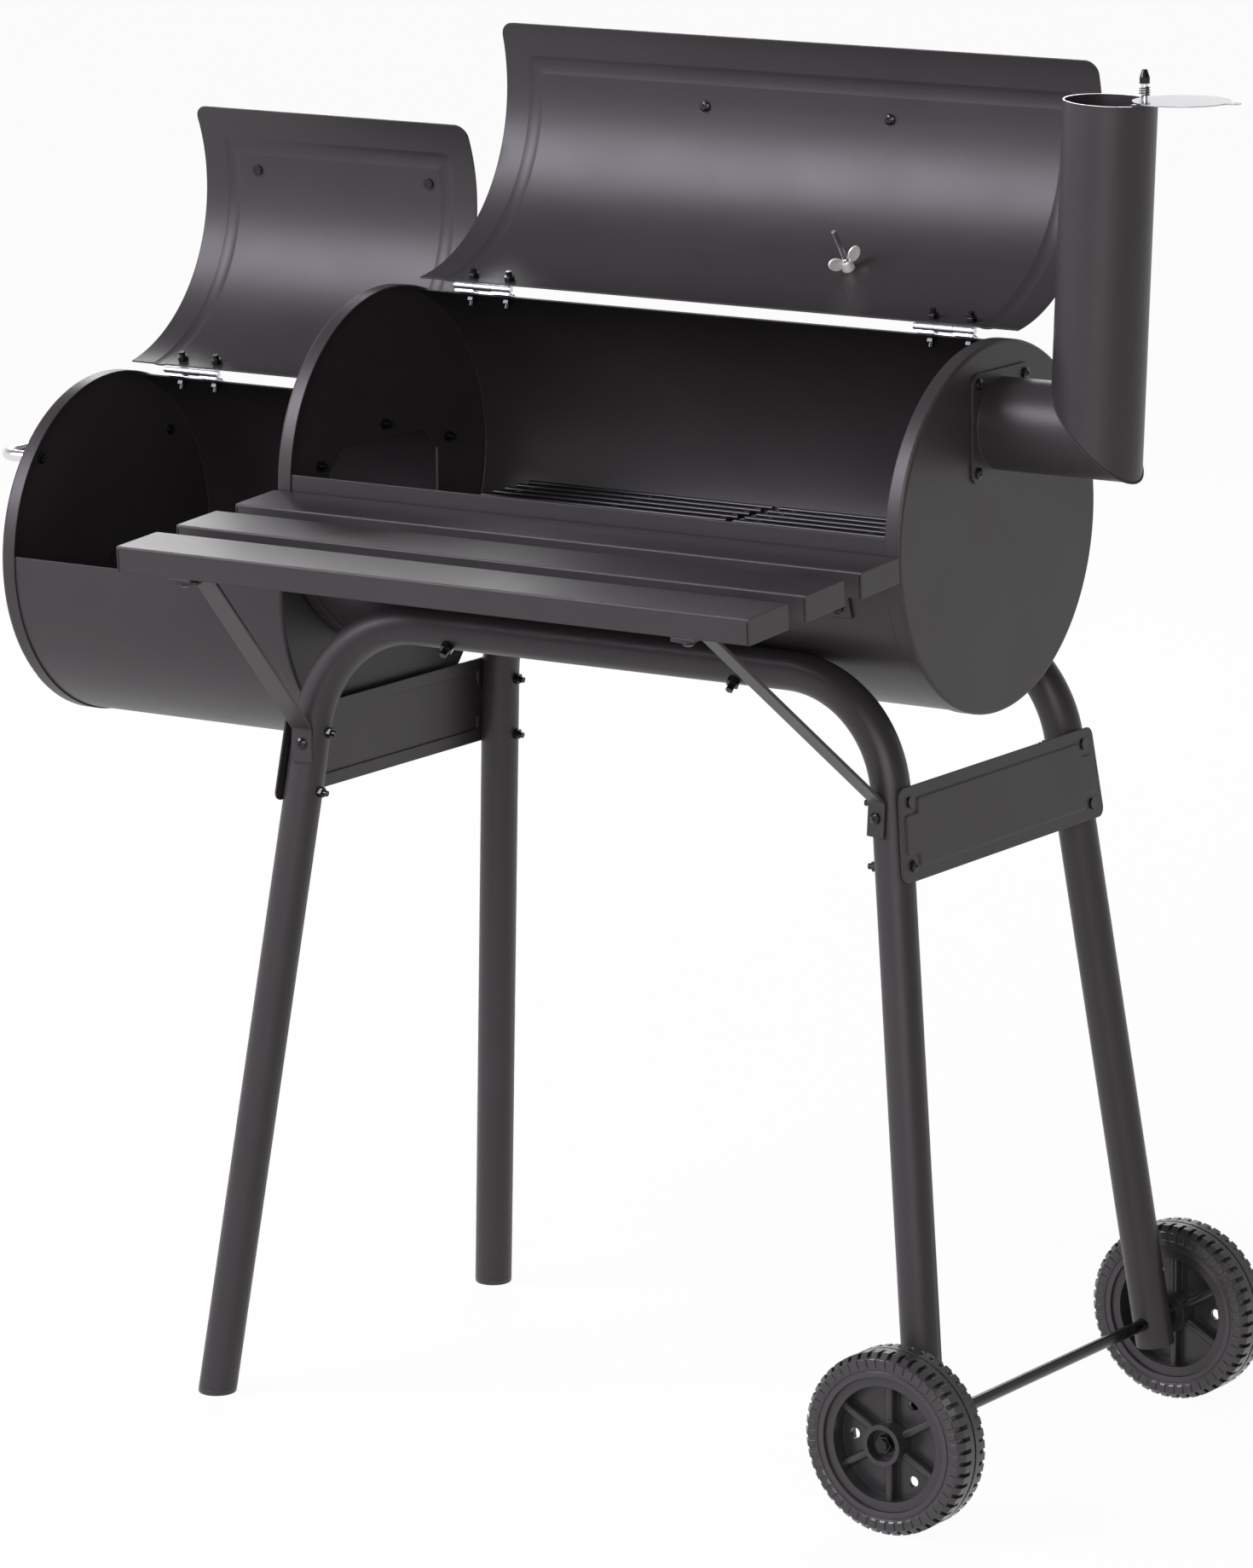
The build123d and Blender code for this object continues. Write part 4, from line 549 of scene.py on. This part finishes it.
def domes(middle, facing, radius):
    """Low round caps: the height falls with the square of the distance from the middle, less a cross."""
    share = np.linspace(DOME_START, 1, DOME_RINGS)[:, None]
    x, y = np.moveaxis(share[..., None] * circle(full_turn(DOME_STEPS), X, Y), -1, 0)[:2]
    near, far = np.minimum(abs(x), abs(y)), np.maximum(abs(x), abs(y))
    bar = np.clip((RECESS_WIDTH / 2 - near) / RECESS_EDGE + 0.5, 0, 1)
    length = np.clip((RECESS_REACH - far) / RECESS_EDGE + 0.5, 0, 1)
    height = DOME_RISE * (1 - share ** 2) - RECESS_DEPTH * bar * length
    turn = TURN_STEP * np.arange(len(middle))
    first, second = across(facing, TURN_FROM)
    right, up = circle(turn, first, second), circle(turn, second, -first)
    flat = x[..., None] * right[:, None, None] + y[..., None] * up[:, None, None]
    points = middle[:, None, None] + radius[:, None, None, None] * flat
    return points + height[..., None] * facing[:, None, None]


for node, (middle, facing, radius) in heads.items():
    faces = net_faces(DOME_RINGS, DOME_STEPS, len(middle))
    body = next(name for name, nodes in record["behaviour"]["bodies"].items() if node in nodes)
    new_piece(node + "_domes", domes(middle, facing, radius), faces,
              finishes["black_fasteners"], body)

# %% [markdown]
# ## Dial of the thermometer
# Behind the glass lies a printed metal disc: pale, with a mark every few degrees and three plain arcs for
# low, right and high heat. A picture could hold the print, but print is only flat colour with sharp edges,
# so these are flat rings and bars just above one another. Their place comes from the pointer's joint, which
# lies on the outside of the lid and points into it, and the arcs run clockwise from lower left, as the
# pointer does.

# %% Disc of the dial
DIAL_FLOOR = 9 * MM      # above the lid
DIAL_LAYER = 0.05 * MM   # from one print to the next
DISC_LAYER, ARC_LAYER, MARK_LAYER = 1, 2, 3
DIAL_EDGE = 24.2 * MM
DIAL_HOLE = 1.6 * MM
DISC_STEPS = 72

turning = next(joint for joint in frame["joints"] if joint["child"] == "thermometer_needle")
dial_middle = np.array(turning["pos_m"])
dial_out = -np.array(turning["axis"])
dial_right = X
dial_up = np.cross(dial_out, dial_right)


def on_dial(radius, angle, layer):
    """Points at a radius and an angle in degrees anticlockwise from the top, some prints above the dial."""
    radius, angle = np.broadcast_arrays(radius, np.radians(angle))
    flat = radius[..., None] * circle(angle, dial_up, -dial_right)
    return dial_middle + flat + (DIAL_FLOOR + layer * DIAL_LAYER) * dial_out


def print_ink(name, colour):
    """Dull ink or paint of the printed disc, flat and a little uneven."""
    return finish(name, colour, smooth=0.42, rough=0.55, edge=0.05)


disc_radii = np.array([[DIAL_HOLE], [DIAL_EDGE]])
disc_points = on_dial(disc_radii, np.degrees(full_turn(DISC_STEPS)), DISC_LAYER)
pale = print_ink("pale printed disc", (0.75, 0.74, 0.7))
new_piece("dial_disc", disc_points, net_faces(2, DISC_STEPS), pale, "main_lid")

# %% Heat arcs of the dial
ARC_INNER, ARC_OUTER = 14.5 * MM, 17.5 * MM
ARC_STEPS = 25
HEAT_ARCS = {            # angles of the start and the end, and the colour
    "low_heat_arc": (118, 42, (0.25, 0.33, 0.4)),
    "right_heat_arc": (40, -38, (0.12, 0.3, 0.12)),
    "high_heat_arc": (-40, -118, (0.45, 0.05, 0.04)),
}

arc_radii = np.array([[ARC_INNER], [ARC_OUTER]])
for name, (start, end, colour) in HEAT_ARCS.items():
    points = on_dial(arc_radii, np.linspace(start, end, ARC_STEPS), ARC_LAYER)
    new_piece(name, points, open_net_faces(2, ARC_STEPS), print_ink(name + "_paint", colour), "main_lid")

# %% Marks of the dial
SCALE_SPAN = 120         # degrees to either side of the top
MARK_STEP = 6
LONG_MARKS = 5           # every fifth mark is long
MARK_OUTER = 22.8 * MM
LONG_INNER, SHORT_INNER = 18.5 * MM, 20.5 * MM
LONG_HALF, SHORT_HALF = 1.3, 0.6         # half widths in degrees

marks = np.arange(-SCALE_SPAN, SCALE_SPAN + 1, MARK_STEP)
is_long = np.arange(len(marks)) % LONG_MARKS == 0
inner = np.where(is_long, LONG_INNER, SHORT_INNER)[:, None]
half = np.where(is_long, LONG_HALF, SHORT_HALF)[:, None]
sides = np.array([-1, 1, 1, -1])
at_outer_end = np.array([False, False, True, True])
mark_points = on_dial(np.where(at_outer_end, MARK_OUTER, inner), marks[:, None] + sides * half, MARK_LAYER)
mark_faces = np.arange(len(sides) * len(marks)).reshape(-1, len(sides))
black = print_ink("black print", (0.02, 0.02, 0.02))
new_piece("dial_marks", mark_points, mark_faces, black, "main_lid", smooth=False)

# %% [markdown]
# ## Wing nut under the lid
# The thermometer is held by a cast wing nut: a tapered hub and two lobes that are dished, with a thick round
# rim for the fingers. The solid has the hub and plain ears of the same reach. Sculpting would do it too, but
# a dished lobe is only a disc whose thickness grows towards its edge and closes in a round rim.

# %% Lobes of the wing nut
NUT_SEAT = 1.4 * MM      # under the outside of the lid
NUT_TURN = math.radians(-56)
NUT_STEPS = 28
LOBE_OUT, LOBE_HIGH = 8.8 * MM, 10.2 * MM
LOBE_LONG, LOBE_WIDE = 7.4 * MM, 5.6 * MM
LOBE_THIN, LOBE_THICK = 0.7 * MM, 1.5 * MM
LOBE_LEAN = math.radians(52)
LOBE_ROWS = 25
LOBE_END = 0.98          # the rows run from the rim at 0 to here, where 1 is the middle of a face
DISH_POWER, RIM_POWER = 3, 8

nut_up = -dial_out
nut_right = math.cos(NUT_TURN) * dial_right + math.sin(NUT_TURN) * dial_up
nut_across = np.cross(nut_up, nut_right)
nut_foot = dial_middle + NUT_SEAT * nut_up
cast = finish("cast bright metal", (0.9, 0.89, 0.87), metallic=0.3, smooth=0.16, rough=0.28, edge=0.2)


def nut_lobe(side):
    """Oval disc from the middle of one face over the rim to the other. Its half thickness grows with a power
    of the distance from the middle, and closes at the rim with the root of 1 less a higher power."""
    share = np.linspace(-LOBE_END, LOBE_END, LOBE_ROWS)[:, None]
    reach = np.sin((1 - abs(share)) * np.pi / 2)
    dished = LOBE_THIN + (LOBE_THICK - LOBE_THIN) * reach ** DISH_POWER
    thick = np.sign(share) * dished * np.sqrt(1 - reach ** RIM_POWER)
    longways = side * math.cos(LOBE_LEAN) * nut_right + math.sin(LOBE_LEAN) * nut_up
    wideways = np.cross(nut_across, longways)
    middle = nut_foot + side * LOBE_OUT * nut_right + LOBE_HIGH * nut_up
    flat = circle(full_turn(NUT_STEPS), LOBE_LONG * longways, LOBE_WIDE * wideways)
    return middle + reach[..., None] * flat + thick[..., None] * nut_across


lobe_points = np.stack([nut_lobe(-1), nut_lobe(1)])
lobe_faces = net_faces(LOBE_ROWS, NUT_STEPS, len(lobe_points))
lobes = new_piece("wing_nut_lobes", lobe_points, lobe_faces, cast, "main_lid")
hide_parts("thermometer_wing_nut")

# %% Hub of the wing nut
HUB_PROFILE = ((3.05, 0), (5.5, 0), (5.5, 2), (4.4, 8), (3.05, 8))    # radius and height in mm


def nut_hub():
    """Profile of radius and height turned about the nut's axis, closed on itself."""
    radius, height = np.array(HUB_PROFILE + HUB_PROFILE[:1]).T[..., None, None] * MM
    return nut_foot + radius * circle(full_turn(NUT_STEPS), nut_right, nut_across) + height * nut_up


hub_faces = net_faces(len(HUB_PROFILE) + 1, NUT_STEPS)
new_piece("wing_nut_hub", nut_hub(), hub_faces, cast, "main_lid", smooth=False)

# %% [markdown]
# ## Shoulder lugs of the tyres
# The tread blocks of the tyres run on down the sidewall as low lugs. One lug is a pad with sloping sides and
# a ramp at its inner end. Each could be an object of its own, but they are moulded in one piece with the
# tyre, so all lugs of a tyre are one mesh. They stand between the slots of the tread, whose angle is read
# from the corners of the solid.

# %% Angle of the tread slots
SLOT_COUNT = 48
SLOT_FLOOR = 70 * MM     # radius at the bottom of a slot
SLOT_PLAY = 0.1 * MM     # a corner this near to that radius is on the floor of a slot
SIDE_PLAY = 6 * MM       # and this near to a side of the tyre, of a slot that opens there


def slot_angle(points, foot):
    """Angle of the slots that open at a side of the tyre, as the mean turn of the corners on their floors."""
    x, y, z = (points - foot).T
    on_floor = abs(np.hypot(x, z) - SLOT_FLOOR) < SLOT_PLAY
    turn = np.arctan2(z, x)[on_floor & (abs(y) < SIDE_PLAY)]
    return np.angle(np.exp(1j * SLOT_COUNT * turn).mean()) / SLOT_COUNT


tyre_sides = {}
for wheel in ("front_wheel", "rear_wheel"):
    low, high = (np.array(corner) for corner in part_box(wheel + "_tyre"))
    corners, _ = joined_triangles(solids[wheel + "_tyre"])
    middle = (low + high) / 2
    half_width = (high - low) / 2 * Y
    feet = {sign: middle + sign * half_width for sign in (-1, 1)}
    tyre_sides[wheel] = [(foot, sign * Y, slot_angle(corners, foot)) for sign, foot in feet.items()]
    print(wheel, "slots start at", [round(math.degrees(angle), 2) for _, _, angle in tyre_sides[wheel]])

# %% Shoulder lugs of the tyres
LUG_STATIONS = np.array([61.5, 63, 69.2, 69.4]) * MM
LUG_HEIGHTS = np.array([-0.1, 0.9, 0.9, -0.1]) * MM
LUG_FOOT, LUG_TOP = 5.4 * MM, 4.6 * MM
LUG_WIDTHS = np.array([-LUG_FOOT, -LUG_TOP, LUG_TOP, LUG_FOOT])
LUG_RAISED = np.array([False, True, True, False])


def shoulder_lugs(foot, outward, first):
    """Pads side by side around the sidewall: a strip along the radius, raised between its two long edges."""
    angle = first + (np.arange(SLOT_COUNT) + 0.5) * 2 * np.pi / SLOT_COUNT
    along = circle(angle, X, Z)[:, None, None]
    aside = circle(angle, Z, -X)[:, None, None]
    height = np.where(LUG_RAISED, LUG_HEIGHTS[:, None], LUG_HEIGHTS.min())[..., None]
    return foot + LUG_STATIONS[:, None, None] * along + LUG_WIDTHS[:, None] / 2 * aside + height * outward


for wheel, sides in tyre_sides.items():
    lug_points = np.stack([shoulder_lugs(*side) for side in sides])
    lug_faces = open_net_faces(len(LUG_STATIONS), len(LUG_WIDTHS), len(sides) * SLOT_COUNT)
    new_piece(wheel + "_lugs", lug_points, lug_faces, finishes["wheel_tread"], wheel,
              smooth=False)

# %% [markdown]
# ## Weld at the chimney's elbow
# The upright pipe and the stub are cut at a slant and welded along the cut, which is an ellipse. A weld is a
# row of small overlapping drops. It could be many little spheres, but one thin tube that swells and thins
# along its way looks the same and has a closed, light mesh.

# %% Weld at the chimney's elbow
PIPE_RADIUS = 37.15 * MM
ELBOW_OUT = 89.3 * MM    # from the back of the stub's flange to where the two pipes cross
PIPE_LEAN = math.radians(2.3)
WELD_RADIUS = 0.9 * MM
WELD_SWELL = 0.16        # share by which the tube swells and thins
WELD_DROPS = 130
WELD_STEPS, WELD_SIDES = 780, 8

stub_low, stub_high = (np.array(corner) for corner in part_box("chimney_stub"))
elbow = (stub_low + stub_high) / 2
elbow[0] = stub_low[0] + ELBOW_OUT
pipe_along = np.array([math.sin(PIPE_LEAN), 0, math.cos(PIPE_LEAN)])
pipe_side, pipe_other = across(pipe_along, X)
cut = pipe_along + X

# The way of the weld goes round the pipe, and at each angle slides along it into the plane of the cut.
angle = full_turn(WELD_STEPS)
outward = circle(angle, pipe_side, pipe_other)
slide = -PIPE_RADIUS * (outward @ cut) / (pipe_along @ cut)
way = elbow + PIPE_RADIUS * outward + slide[:, None] * pipe_along
ahead = np.roll(way, -1, axis=0) - np.roll(way, 1, axis=0)
ahead /= np.linalg.norm(ahead, axis=1)[:, None]
first, second = across(ahead, outward)
thick = WELD_RADIUS * (1 + WELD_SWELL * np.cos(WELD_DROPS * angle))
weld = way[:, None] + thick[:, None, None] * circle(full_turn(WELD_SIDES), first[:, None], second[:, None])

start = np.arange(WELD_SIDES)
last = start + (WELD_STEPS - 1) * WELD_SIDES
closing = np.column_stack([last, np.roll(last, -1), np.roll(start, -1), start])
weld_faces = np.vstack([net_faces(WELD_STEPS, WELD_SIDES), closing])
new_piece("elbow_weld", weld, weld_faces, finishes["black_coat"], "frame")

# %% [markdown]
# ## Painted highlight along the rim of the pipe
# The upper end of the pipe shows a thin bright line along its rim, where the edge catches the light. The end face
# of the solid could have a material of its own, but the whole solid keeps one finish. So this highlight is painted
# in as a flat ring of bright zinc a hair above the end.

# %% Painted highlight along the rim of the pipe
PIPE_BORE = 35.95 * MM
PIPE_RISE = 262 * MM     # from the elbow to the upper end
EDGE_LIFT = 0.05 * MM
EDGE_STEPS = 96

rim_highlight_middle = elbow + (PIPE_RISE / math.cos(PIPE_LEAN) + EDGE_LIFT) * pipe_along
rim_highlight_radii = np.array([PIPE_RADIUS, PIPE_BORE])[:, None, None]
rim_highlight_points = rim_highlight_middle + rim_highlight_radii * circle(full_turn(EDGE_STEPS), pipe_side, pipe_other)
# The ring is a painted highlight: bright zinc that stands in for the light caught by the rim.
new_piece("painted_rim_highlight", rim_highlight_points, net_faces(2, EDGE_STEPS), finishes["zinc_plate"], "frame")
